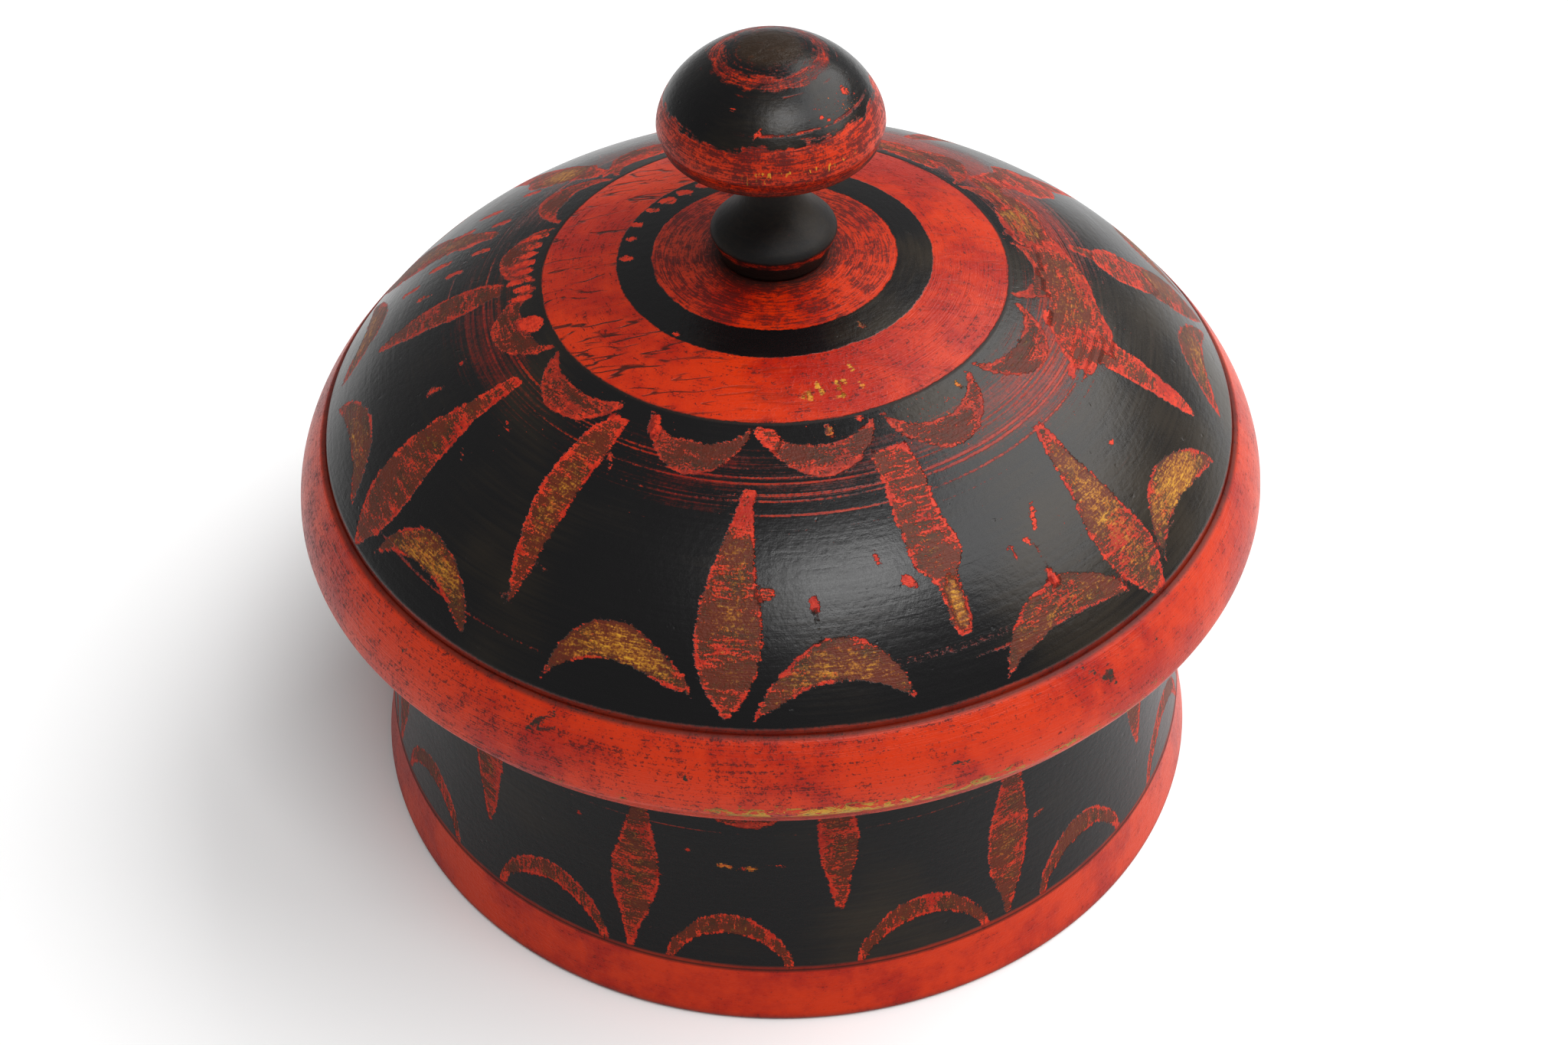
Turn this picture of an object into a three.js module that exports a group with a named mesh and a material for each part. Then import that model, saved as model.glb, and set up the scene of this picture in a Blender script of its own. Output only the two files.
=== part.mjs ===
// A turned wooden box, round and lidded, lacquered on the lathe: bowl, lid and knob.
// Millimetres, +Z up, origin at the centre of the foot. Every piece is turned about the Z axis,
// so each one is a closed outline of (radius, height) swept round it.

import * as THREE from "three";

// --- Driving dimensions ---------------------------------------------------------------------

const SEAT_GAP = 0.3; // clearance where one piece rests on, or fits into, another

// Bowl, outside
const FOOT_RADIUS = 83.0;
const FOOT_EDGE = 1.2; // rounding of the foot's outer edge
const RECESS_RADIUS = 61.5; // the underside is turned away inside this radius
const RECESS_DEPTH = 1.0;
const WAIST_PULL = { r: 76.0, z: 33.0 }; // the wall leans towards this point, so it is waisted
const SHOULDER_RADIUS = 74.3;
const SHOULDER_HEIGHT = 64.0; // the lid rests here
const SHOULDER_EDGE = 0.7;

// Bowl, lip and inside
const LIP_RADIUS = 70.0;
const LIP_HEIGHT = 71.0;
const LIP_EDGE = 0.9;
const BORE_RADIUS = 66.0;
const FLOOR_HEIGHT = 12.0;
const FLOOR_CORNER = 15.0; // radius of the corner between floor and wall
const FLOOR_DISH = 0.6; // how much lower the floor is at its centre

// Lid, outside
const CROWN_HEIGHT = 114.0; // top of the dome, on the axis
const CROWN_PULL = { r: 48.0, z: 114.3 };
const BROW_PULL = { r: 71.5, z: 98.0 };
const GROOVE_RADIUS = 84.0; // the line that divides the dome from the rim
const GROOVE_HEIGHT = 81.1;
const GROOVE_WIDTH = 1.2;
const GROOVE_DEPTH = 0.5;
const RIM_PULL = { r: 89.6, z: 74.5 };
const RIM_RADIUS = 90.1; // widest part of the whole box
const RIM_HEIGHT = 69.0;
const RIM_ARRIS = 1.6;
const RIM_FOOT_RADIUS = 87.3;
const RIM_FOOT_HEIGHT = 63.5;
const RIM_FOOT_EDGE = 0.5;

// Lid, inside
const SEAT_RADIUS = 79.0; // outer edge of the flat ring that rests on the shoulder
const HOLLOW_RADIUS = 67.6;
const HOLLOW_FOOT = 72.6; // the hollow narrows here, just above the bowl's lip
const HOLLOW_HEIGHT = 104.2;
const HOLLOW_BROW = { r: 64.5, z: 88.0 };
const HOLLOW_CROWN = { r: 42.0, z: 104.2 };

// Knob
const TENON_RADIUS = 5.0;
const TENON_CHAMFER = 0.8;
const STEM_FOOT_RADIUS = 9.8;
const STEM_FOOT_EDGE = 1.0;
const STEM_SHOULDER_RADIUS = 11.1;
const STEM_SHOULDER_HEIGHT = 118.9;
const BELL_OUT = { r: 11.3, z: 121.4 };
const BELL_IN = { r: 4.0, z: 123.4 };
const NECK_RADIUS = 4.5;
const NECK_HEIGHT = 130.7;
const COVE_IN = { r: 4.7, z: 136.2 };
const COVE_OUT = { r: 10.0, z: 137.8 };
const HEAD_UNDERSIDE = 137.9;
const HEAD_ARRIS_RADIUS = 18.7;
const HEAD_ARRIS_HEIGHT = 139.1;
const HEAD_RADIUS = 19.3;
const HEAD_HEIGHT = 140.9;
const HEAD_OUT = { r: 19.1, z: 146.4 };
const HEAD_IN = { r: 11.4, z: 155.5 };
const TOP_HEIGHT = 155.3;

// Facets
const TURNS = 72; // facets round the bowl and the lid
const KNOB_TURNS = 48;
const STEPS = 5; // facets along a short rounding
const LONG_STEPS = 12; // facets along a long sweep

// --- Outlines -------------------------------------------------------------------------------

/** Points (radius, height) of an outline, added one stretch after another. */
class Outline {
  constructor(r, z) {
    this.points = [new THREE.Vector2(r, z)];
  }

  get end() {
    return this.points[this.points.length - 1];
  }

  line(r, z) {
    this.points.push(new THREE.Vector2(r, z));
    return this;
  }

  /** A rounding that leaves the last point towards (cornerR, cornerZ) and turns to (r, z). */
  round(cornerR, cornerZ, r, z, steps = STEPS) {
    const corner = new THREE.Vector2(cornerR, cornerZ);
    const curve = new THREE.QuadraticBezierCurve(this.end, corner, new THREE.Vector2(r, z));
    this.points.push(...curve.getPoints(steps).slice(1));
    return this;
  }

  /** A long sweep from the last point to (r, z), pulled towards two points on the way. */
  sweep(first, second, r, z, steps = LONG_STEPS) {
    const pulls = [first, second].map((pull) => new THREE.Vector2(pull.r, pull.z));
    const curve = new THREE.CubicBezierCurve(this.end, ...pulls, new THREE.Vector2(r, z));
    this.points.push(...curve.getPoints(steps).slice(1));
    return this;
  }

  /** Back to the first point, for a ring whose outline doesn't meet the axis. */
  close() {
    return this.line(this.points[0].x, this.points[0].y);
  }
}

function bowlOutline() {
  const wallInner = BORE_RADIUS - FLOOR_CORNER;
  return new Outline(0, RECESS_DEPTH)
    .line(RECESS_RADIUS - RECESS_DEPTH, RECESS_DEPTH)
    .line(RECESS_RADIUS, 0)
    .line(FOOT_RADIUS - FOOT_EDGE, 0)
    .round(FOOT_RADIUS, 0, FOOT_RADIUS, FOOT_EDGE, 3)
    .round(WAIST_PULL.r, WAIST_PULL.z, SHOULDER_RADIUS, SHOULDER_HEIGHT - SHOULDER_EDGE, LONG_STEPS)
    .line(SHOULDER_RADIUS - SHOULDER_EDGE, SHOULDER_HEIGHT)
    .line(LIP_RADIUS, SHOULDER_HEIGHT)
    .line(LIP_RADIUS, LIP_HEIGHT - LIP_EDGE)
    .line(LIP_RADIUS - LIP_EDGE, LIP_HEIGHT)
    .line(BORE_RADIUS + LIP_EDGE, LIP_HEIGHT)
    .line(BORE_RADIUS, LIP_HEIGHT - LIP_EDGE)
    .line(BORE_RADIUS, FLOOR_HEIGHT + FLOOR_CORNER)
    .round(BORE_RADIUS, FLOOR_HEIGHT, wallInner, FLOOR_HEIGHT)
    .line(0, FLOOR_HEIGHT - FLOOR_DISH);
}

function lidOutline() {
  const seatHeight = SHOULDER_HEIGHT + SEAT_GAP;
  const mouthRadius = LIP_RADIUS + SEAT_GAP;
  const holeRadius = TENON_RADIUS + SEAT_GAP;
  const half = GROOVE_WIDTH / 2;
  return new Outline(holeRadius, HOLLOW_HEIGHT)
    .line(HOLLOW_CROWN.r / 2, HOLLOW_HEIGHT)
    .sweep(HOLLOW_CROWN, HOLLOW_BROW, HOLLOW_RADIUS, HOLLOW_FOOT)
    .line(mouthRadius, HOLLOW_FOOT)
    .line(mouthRadius, seatHeight)
    .line(SEAT_RADIUS, seatHeight)
    .line(RIM_FOOT_RADIUS - RIM_FOOT_EDGE, RIM_FOOT_HEIGHT)
    .line(RIM_FOOT_RADIUS, RIM_FOOT_HEIGHT + RIM_FOOT_EDGE)
    .line(RIM_RADIUS - RIM_ARRIS / 2, RIM_HEIGHT - RIM_ARRIS)
    .round(RIM_RADIUS, RIM_HEIGHT - RIM_ARRIS / 2, RIM_RADIUS, RIM_HEIGHT, 3)
    .round(RIM_PULL.r, RIM_PULL.z, GROOVE_RADIUS + half, GROOVE_HEIGHT - half)
    .line(GROOVE_RADIUS - GROOVE_DEPTH, GROOVE_HEIGHT - GROOVE_DEPTH)
    .line(GROOVE_RADIUS - half, GROOVE_HEIGHT + half)
    .sweep(BROW_PULL, CROWN_PULL, holeRadius, CROWN_HEIGHT)
    .close();
}

function knobOutline() {
  const seat = CROWN_HEIGHT + SEAT_GAP;
  const tenonEnd = HOLLOW_HEIGHT + SEAT_GAP;
  return new Outline(0, tenonEnd)
    .line(TENON_RADIUS - TENON_CHAMFER, tenonEnd)
    .line(TENON_RADIUS, tenonEnd + TENON_CHAMFER)
    .line(TENON_RADIUS, seat)
    .line(STEM_FOOT_RADIUS - STEM_FOOT_EDGE, seat)
    .round(STEM_FOOT_RADIUS, seat, STEM_FOOT_RADIUS, seat + STEM_FOOT_EDGE, 3)
    .line(STEM_SHOULDER_RADIUS, STEM_SHOULDER_HEIGHT)
    .sweep(BELL_OUT, BELL_IN, NECK_RADIUS, NECK_HEIGHT, 8)
    .sweep(COVE_IN, COVE_OUT, HEAD_ARRIS_RADIUS - 1, HEAD_UNDERSIDE, 6)
    .round(HEAD_ARRIS_RADIUS, HEAD_UNDERSIDE, HEAD_ARRIS_RADIUS, HEAD_ARRIS_HEIGHT, 3)
    .line(HEAD_RADIUS, HEAD_HEIGHT)
    .sweep(HEAD_OUT, HEAD_IN, 0, TOP_HEIGHT, 10);
}

// --- Pieces ---------------------------------------------------------------------------------

/** Turn an outline about the Z axis into one named mesh. */
function turned(name, outline, turns, material) {
  const geometry = new THREE.LatheGeometry(outline.points, turns);
  geometry.rotateX(Math.PI / 2); // LatheGeometry turns about Y
  const mesh = new THREE.Mesh(geometry, material);
  mesh.name = name;
  return mesh;
}

const blackLacquer = new THREE.MeshStandardMaterial({ color: 0x1c1a1b, roughness: 0.38, metalness: 0 });
const redLacquer = new THREE.MeshStandardMaterial({ color: 0xc8321a, roughness: 0.42, metalness: 0 });
const wornLacquer = new THREE.MeshStandardMaterial({ color: 0x3a2018, roughness: 0.48, metalness: 0 });

const group = new THREE.Group();
group.add(turned("bowl", bowlOutline(), TURNS, blackLacquer));
group.add(turned("lid", lidOutline(), TURNS, redLacquer));
group.add(turned("knob", knobOutline(), KNOB_TURNS, wornLacquer));

export default group;
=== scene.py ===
"""A round box of turned wood with a domed lid, coloured on the lathe with sticks of lac.

Yellow, red and black lac lie one over another. Petals, leaves and scallops are scraped through
the black with a broad blade, and years of handling have chipped and rubbed the rest.
Sizes are in millimetres and bearings in degrees, counted from +X towards +Y, so the side that
faces -Y is at 270. Blender's own lengths are metres.
"""

import logging
import math
from dataclasses import dataclass, field
from enum import Enum
from functools import cache

import bpy
import numpy as np
from mathutils import Matrix, Vector


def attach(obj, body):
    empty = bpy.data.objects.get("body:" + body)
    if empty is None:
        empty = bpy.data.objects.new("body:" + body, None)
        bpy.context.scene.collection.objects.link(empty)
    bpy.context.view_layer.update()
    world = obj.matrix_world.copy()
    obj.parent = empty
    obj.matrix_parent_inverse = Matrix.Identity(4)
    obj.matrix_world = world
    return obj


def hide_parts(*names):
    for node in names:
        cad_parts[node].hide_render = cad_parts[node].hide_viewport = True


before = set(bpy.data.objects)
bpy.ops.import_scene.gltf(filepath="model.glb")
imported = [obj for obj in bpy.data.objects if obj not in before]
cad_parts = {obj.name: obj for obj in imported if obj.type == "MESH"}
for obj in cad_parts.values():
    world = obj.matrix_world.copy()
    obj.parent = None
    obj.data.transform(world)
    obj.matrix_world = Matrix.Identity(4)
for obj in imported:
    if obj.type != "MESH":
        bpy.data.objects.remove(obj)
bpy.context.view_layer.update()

Point = tuple[float, float]
Colour = tuple[float, float, float, float]
Socket = bpy.types.NodeSocket
Value = Socket | float | tuple[float, ...]

MM = 0.001
TURNS = 640  # facets round the bowl and the lid
KNOB_TURNS = 288
LOG = logging.getLogger("turned_box")


# --- Sections and turning -------------------------------------------------------------------


class Coat(Enum):
    """What a stretch of a section wears."""

    SHELL = 0
    INSIDE = 1
    BARE = 2


@dataclass
class Outline:
    """A half-section, as points (radius, height) in millimetres.

    Attributes:
        points: the points drawn so far.
        coat: the coat of the stretch being drawn.
        spacing: the widest gap between points on the stretch being drawn.
        coats: the coat of the stretch that ends at each point after the first.
    """

    points: list[Point]
    coat: Coat = Coat.SHELL
    spacing: float = 1.0
    coats: list[Coat] = field(default_factory=list)

    def wearing(self, coat: Coat, spacing: float) -> "Outline":
        """Change the coat and the spacing of what follows.

        Args:
            coat: the new coat.
            spacing: the new widest gap between points, in millimetres.

        Returns:
            The outline itself.
        """
        self.coat, self.spacing = coat, spacing
        return self

    def _trace(self, controls: list[Point]) -> "Outline":
        """Add a Bezier curve through its control points.

        Args:
            controls: the curve's pulls and its end, without its start.

        Returns:
            The outline itself.
        """
        ends = np.array([self.points[-1], *controls], float)
        order = len(ends) - 1
        reach = float(np.linalg.norm(np.diff(ends, axis=0), axis=1).sum())
        pieces = max(1 if order == 1 else 4, math.ceil(reach / self.spacing))
        share = np.linspace(0.0, 1.0, pieces + 1)[1:, None]
        curve = sum(
            math.comb(order, k) * (1 - share) ** (order - k) * share**k * ends[k]
            for k in range(order + 1)
        )
        self.points.extend((float(r), float(z)) for r, z in curve)
        self.coats.extend([self.coat] * pieces)
        return self

    def line(self, r: float, z: float) -> "Outline":
        """Draw a straight stretch to (r, z)."""
        return self._trace([(r, z)])

    def round(self, pull: Point, end: Point) -> "Outline":
        """Draw a rounding that leaves towards a pull and turns to its end."""
        return self._trace([pull, end])

    def sweep(self, first: Point, second: Point, end: Point) -> "Outline":
        """Draw a long curve that two pulls shape."""
        return self._trace([first, second, end])


@dataclass
class Surface:
    """Where each vertex of a turned piece lies.

    Attributes:
        bearing: degrees round the axis.
        radius: millimetres from the axis.
        height: millimetres above the ground.
        run: millimetres along the section from its datum.
    """

    bearing: np.ndarray
    radius: np.ndarray
    height: np.ndarray
    run: np.ndarray


class Lathe:
    """Turns outlines into meshes."""

    ON_AXIS = 1e-6  # a radius under this is a point on the axis
    EDGE_ANGLE = 40.0  # two faces that meet at more degrees than this have a sharp edge

    def __init__(self, turns: int) -> None:
        """Set the number of facets round the axis."""
        self.turns = turns

    def turn(self, name: str, outline: Outline, datum: Point) -> tuple[bpy.types.Object, Surface]:
        """Turn an outline about the Z axis.

        Args:
            name: the piece's name.
            outline: its section. It starts and ends on the axis, or ends where it starts.
            datum: the point of the section from which runs are counted.

        Returns:
            The new object, and where its vertices lie.
        """
        section = np.array(outline.points)
        area = np.sum(section[:-1, 0] * section[1:, 1] - section[1:, 0] * section[:-1, 1])
        ring = bool(np.allclose(section[0], section[-1]))
        steps = np.r_[0.0, np.cumsum(np.hypot(*np.diff(section, axis=0).T))]
        steps -= steps[int(np.argmin(np.hypot(*(section - np.array(datum)).T)))]
        if ring:
            section, steps = section[:-1], steps[:-1]
        angle = np.arange(self.turns) * 2 * math.pi / self.turns
        rows, places, runs = [], [], []
        for (r, z), run in zip(section, steps, strict=True):
            first = len(runs)
            if r < self.ON_AXIS:
                places.append(np.array([[0.0, 0.0, z]]))
                rows.append(np.full(self.turns, first))
                runs.append(run)
            else:
                places.append(np.c_[r * np.cos(angle), r * np.sin(angle), np.full(self.turns, z)])
                rows.append(first + np.arange(self.turns))
                runs.extend([run] * self.turns)
        places_mm = np.vstack(places)
        faces: list[tuple[int, ...]] = []
        coats: list[int] = []
        count = len(section)
        for i in range(count if ring else count - 1):
            low, high = rows[i], rows[(i + 1) % count]
            if area < 0:
                low, high = high, low
            quads = np.c_[low, np.roll(low, -1), np.roll(high, -1), high].tolist()
            for quad in quads:
                face = tuple(dict.fromkeys(quad))
                if len(face) > 2:
                    faces.append(face)
                    coats.append(outline.coats[i].value)
        mesh = bpy.data.meshes.new(name)
        mesh.from_pydata((places_mm * MM).tolist(), [], faces)
        mesh.polygons.foreach_set("material_index", coats)
        mesh.shade_smooth()
        mesh.set_sharp_from_angle(angle=math.radians(self.EDGE_ANGLE))
        mesh.validate()
        piece = bpy.data.objects.new(name, mesh)
        bpy.context.scene.collection.objects.link(piece)
        radius = np.hypot(places_mm[:, 0], places_mm[:, 1])
        bearing = np.degrees(np.arctan2(places_mm[:, 1], places_mm[:, 0])) % 360
        return piece, Surface(bearing, radius, places_mm[:, 2], np.array(runs))


# --- Marks scraped, rubbed and chipped into the lac -----------------------------------------


@dataclass
class Chart:
    """Turns a bearing and a mark into millimetres on the surface of one piece.

    Attributes:
        surface: where the piece's vertices lie.
        marks: the marks, ascending, by which places on this piece are named: radii on the lid,
            heights on the bowl, distances from the top on the knob.
        runs: the run at each mark.
        radii: the radius at each mark.
        shown: which vertices belong to the face that is decorated.
    """

    surface: Surface
    marks: np.ndarray
    runs: np.ndarray
    radii: np.ndarray
    shown: np.ndarray

    def place(self, bearing: float, mark: float, middle: float) -> Point:
        """Lay one spot flat.

        Args:
            bearing: the spot's bearing.
            mark: the spot's mark.
            middle: the bearing at which the flat sheet touches the piece.

        Returns:
            Millimetres round from the middle, and the run.
        """
        swing = (bearing - middle + 180) % 360 - 180
        radius = float(np.interp(mark, self.marks, self.radii))
        return math.radians(swing) * radius, float(np.interp(mark, self.marks, self.runs))

    def flat(self, middle: float) -> tuple[np.ndarray, np.ndarray]:
        """Lay every vertex on the flat sheet that touches the piece at one bearing."""
        swing = (self.surface.bearing - middle + 180) % 360 - 180
        return np.radians(swing) * self.surface.radius, self.surface.run


class Ribs(Enum):
    """Which way the blade's chatter lies in a mark."""

    ROUND = "round the axis"
    UPRIGHT = "along the section"


@dataclass(frozen=True)
class Tone:
    """How deep the blade went.

    Attributes:
        ochre: how much yellow lac shows, 0 to 1, or more to flood the mark with it.
        glow: how much bright red shows away from the edges, less than 0 for none.
        smoke: how much black is left over it all, 0 to 1.
    """

    ochre: float = 0.3
    glow: float = 0.35
    smoke: float = 0.0


@dataclass(frozen=True)
class Petal:
    """One long stroke of the blade, from its root to its tip.

    Attributes:
        root: bearing and mark where it starts.
        tip: bearing and mark where it ends.
        widths: (share of the length, width in millimetres) on the way.
        bow: how far its middle is pushed to the side, in millimetres.
        tone: how deep it was scraped.
        ribs: which way its chatter lies.
        wobble: how far its edges wander, in millimetres.
    """

    root: Point
    tip: Point
    widths: tuple[Point, ...]
    bow: float = 0.0
    tone: Tone = Tone()
    ribs: Ribs = Ribs.ROUND
    wobble: float = 0.35

    def outline(self, chart: Chart) -> tuple[float, np.ndarray]:
        """Draw the petal's edge.

        Args:
            chart: the piece's chart.

        Returns:
            The bearing of its flat sheet, and its corners on that sheet.
        """
        middle = self.tip[0]
        start, end = (np.array(chart.place(*spot, middle)) for spot in (self.root, self.tip))
        share = np.linspace(0, 1, 28)
        way = (end - start) / max(float(np.linalg.norm(end - start)), 1e-6)
        side = np.array([-way[1], way[0]])
        line = start + share[:, None] * (end - start)
        line = line - side * (self.bow * np.sin(math.pi * share))[:, None]
        known = np.array(self.widths)
        half = np.interp(share, known[:, 0], known[:, 1]) / 2
        half = np.convolve(np.pad(half, 1, mode="edge"), [0.25, 0.5, 0.25], "valid")
        edge = side * half[:, None]
        return middle, np.vstack([line + edge, (line - edge)[::-1]])


@dataclass(frozen=True)
class Crescent:
    """A leaf, scallop or arch: two arcs that end at the same two feet.

    Attributes:
        feet: bearing and mark of each foot.
        crest: mark of the outer arc where it is farthest from the feet.
        belly: mark of the inner arc there.
        peak: where along the arc that is, 0 to 1.
        full: how round the outer arc is; lower is rounder.
        hollow: how round the inner arc is.
        foot_width: width of each foot, in millimetres.
        tone: how deep it was scraped.
        ribs: which way its chatter lies.
        wobble: how far its edges wander, in millimetres.
    """

    feet: tuple[Point, Point]
    crest: float
    belly: float
    peak: float = 0.5
    full: float = 0.62
    hollow: float = 1.0
    foot_width: float = 0.0
    tone: Tone = Tone()
    ribs: Ribs = Ribs.ROUND
    wobble: float = 0.3

    def outline(self, chart: Chart) -> tuple[float, np.ndarray]:
        """Draw the crescent's edge.

        Args:
            chart: the piece's chart.

        Returns:
            The bearing of its flat sheet, and its corners on that sheet.
        """
        (from_bearing, from_mark), (to_bearing, to_mark) = self.feet
        span = (to_bearing - from_bearing) % 360
        middle = from_bearing + span / 2
        share = np.linspace(0, 1, 30)
        skew = math.log(0.5) / math.log(self.peak)

        def arc(top: float, fullness: float, inset: float) -> np.ndarray:
            """Draw one arc, its feet drawn in by an inset in degrees.

            Args:
                top: mark of its highest point.
                fullness: how round it is; lower is rounder.
                inset: how far its feet are drawn in, in degrees.

            Returns:
                Its points on the flat sheet.
            """
            rise = np.clip(np.sin(math.pi * share**skew), 0, 1) ** fullness
            base = from_mark + (to_mark - from_mark) * share
            marks = base + (top - base) * rise
            bearings = from_bearing + inset + (span - 2 * inset) * share
            return np.array(
                [chart.place(b, m, middle) for b, m in zip(bearings, marks, strict=True)]
            )

        radius = float(np.interp(from_mark, chart.marks, chart.radii))
        inset = math.degrees(self.foot_width / radius)
        outer = arc(self.crest, self.full, 0.0)
        inner = arc(self.belly, self.hollow, inset)
        return middle, np.vstack([outer, inner[::-1]])


@dataclass(frozen=True)
class Blot:
    """A patch worn or chipped away, with any outline.

    Attributes:
        corners: bearing and mark of each corner.
        tone: what shows in it.
        ribs: which way its streaks lie.
        wobble: how far its edges wander, in millimetres.
    """

    corners: tuple[Point, ...]
    tone: Tone = Tone()
    ribs: Ribs = Ribs.ROUND
    wobble: float = 0.9

    def outline(self, chart: Chart) -> tuple[float, np.ndarray]:
        """Draw the patch's edge, rounded at its corners.

        Args:
            chart: the piece's chart.

        Returns:
            The bearing of its flat sheet, and its corners on that sheet.
        """
        middle = self.corners[0][0]
        rough = np.array([chart.place(*corner, middle) for corner in self.corners])
        for _ in range(2):
            after = np.roll(rough, -1, axis=0)
            rough = np.stack([0.75 * rough + 0.25 * after, 0.25 * rough + 0.75 * after], 1)
            rough = rough.reshape(-1, 2)
        return middle, rough


Mark = Petal | Crescent | Blot


def dash(start: Point, end: Point, width: float, tone: Tone) -> Petal:
    """Make a short stroke that is as wide at both ends.

    Args:
        start: bearing and mark of one end.
        end: bearing and mark of the other.
        width: its width in millimetres.
        tone: what shows in it.

    Returns:
        The stroke.
    """
    return Petal(start, end, ((0, width * 0.5), (0.2, width), (0.8, width), (1, width * 0.4)),
                 tone=tone, wobble=0.15)


def plan_dash(start: Point, end: Point, width: float, tone: Tone) -> Petal:
    """Make a short stroke on the lid from its ends in plan, (x, y) in millimetres."""
    ends = [(math.degrees(math.atan2(y, x)) % 360, math.hypot(x, y)) for x, y in (start, end)]
    return dash(ends[0], ends[1], width, tone)


def inset_depth(spots: np.ndarray, corners: np.ndarray) -> np.ndarray:
    """Measure how far inside a closed outline each spot lies.

    Args:
        spots: places on a flat sheet, in millimetres.
        corners: the outline's corners on the same sheet.

    Returns:
        The distance to the nearest edge, negative outside.
    """
    nearest = np.full(len(spots), 1e9)
    inside = np.zeros(len(spots), bool)
    for a, b in zip(corners, np.roll(corners, -1, axis=0), strict=True):
        edge = b - a
        share = ((spots - a) @ edge) / max(float(edge @ edge), 1e-12)
        gap = spots - a - np.clip(share, 0, 1)[:, None] * edge
        nearest = np.minimum(nearest, np.einsum("ij,ij->i", gap, gap))
        if a[1] != b[1]:
            crosses = (a[1] > spots[:, 1]) != (b[1] > spots[:, 1])
            at = a[0] + (spots[:, 1] - a[1]) / (b[1] - a[1]) * edge[0]
            inside ^= crosses & (spots[:, 0] < at)
    return np.sqrt(nearest) * np.where(inside, 1.0, -1.0)


class Engraver:
    """Writes the marks into a piece's mesh as named fields that its materials read.

    The fields are scrape_depth, in millimetres inside the nearest mark; stroke, which holds the
    distance along and across that mark's chatter and a number of its own; scrape_tone, its
    ochre, glow and smoke; wear, the local density of chips; and run.
    """

    FARTHEST = 6.0
    SMALL = 3.2  # a mark whose half-length is under this shows one tone all over
    OCHRE = (1.25, 0.9)  # yellow at a mark's middle, and how fast it fades outwards
    GLOW = (0.6, 0.7, 1.5)  # red at a mark's middle, how fast it grows outwards, and its most
    APART = 1.37  # how far the numbers of two marks in a row lie apart

    def __init__(self, chart: Chart, seed: int) -> None:
        """Start with an unmarked surface.

        Args:
            chart: the piece's chart.
            seed: the seed of the hand's small errors.
        """
        self.chart = chart
        self.hand = np.random.default_rng(seed)
        count = len(chart.surface.run)
        self.depth = np.full(count, -self.FARTHEST)
        self.stroke = np.zeros((count, 3))
        self.tone = np.zeros((count, 3))
        self.wear = np.zeros(count)

    def engrave(self, marks: list[Mark]) -> None:
        """Cut marks into the surface; a later one shows where it lies over an earlier one.

        Args:
            marks: the marks, in the order of cutting.
        """
        for number, mark in enumerate(marks):
            middle, corners = mark.outline(self.chart)
            drift = self.hand.normal(0, mark.wobble, corners.shape)
            ring = np.vstack([drift[-2:], drift, drift[:2]])
            smooth = sum(ring[k : k + len(corners)] for k in range(5)) / 5
            corners = corners + smooth
            x, run = self.chart.flat(middle)
            low, high = corners.min(0) - self.FARTHEST, corners.max(0) + self.FARTHEST
            near = self.chart.shown & (x > low[0]) & (x < high[0])
            near &= (run > low[1]) & (run < high[1])
            chosen = np.flatnonzero(near)
            spots = np.c_[x[chosen], run[chosen]]
            depth = inset_depth(spots, corners)
            wins = depth > np.minimum(self.depth[chosen], 0.0)
            chosen, depth, spots = chosen[wins], depth[wins], spots[wins]
            self.depth[chosen] = np.maximum(depth, self.depth[chosen])
            along, across = (1, 0) if mark.ribs is Ribs.ROUND else (0, 1)
            self.stroke[chosen] = np.c_[spots[:, along], spots[:, across],
                                        np.full(len(chosen), number * self.APART)]
            centre = corners.mean(0)
            reach = np.maximum(np.ptp(corners, axis=0) / 2, 0.5)
            away = np.linalg.norm((spots - centre) / reach, axis=1)
            tone = mark.tone
            ochre = tone.ochre * np.clip(self.OCHRE[0] - away * self.OCHRE[1], 0, 1)
            if reach.max() < self.SMALL:
                away = np.ones(len(chosen))
                ochre = np.full(len(chosen), tone.ochre)
            glow = tone.glow * np.clip(self.GLOW[0] + away * self.GLOW[1], 0, self.GLOW[2])
            self.tone[chosen] = np.c_[ochre, glow, np.full(len(chosen), tone.smoke)]

    def wear_down(self, spots: list[tuple[float, float, float, float]]) -> None:
        """Raise the density of chips round some spots.

        Args:
            spots: bearing, mark, reach in millimetres and amount of each.
        """
        for bearing, mark, reach, amount in spots:
            x, run = self.chart.flat(bearing)
            _, centre = self.chart.place(bearing, mark, bearing)
            gap = (x / reach) ** 2 + ((run - centre) / (reach * 0.5)) ** 2
            self.wear += amount * np.exp(-gap) * self.chart.shown

    def finish(self, piece: bpy.types.Object) -> None:
        """Store the fields in the piece's mesh.

        Args:
            piece: the piece whose mesh gets them.
        """
        fields = {
            "scrape_depth": self.depth,
            "wear": self.wear,
            "run": self.chart.surface.run,
            "stroke": self.stroke,
            "scrape_tone": self.tone,
        }
        for name, values in fields.items():
            kind, slot = ("FLOAT", "value") if values.ndim == 1 else ("FLOAT_VECTOR", "vector")
            made = piece.data.attributes.new(name, kind, "POINT")
            made.data.foreach_set(slot, values.astype(np.float32).ravel())


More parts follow.
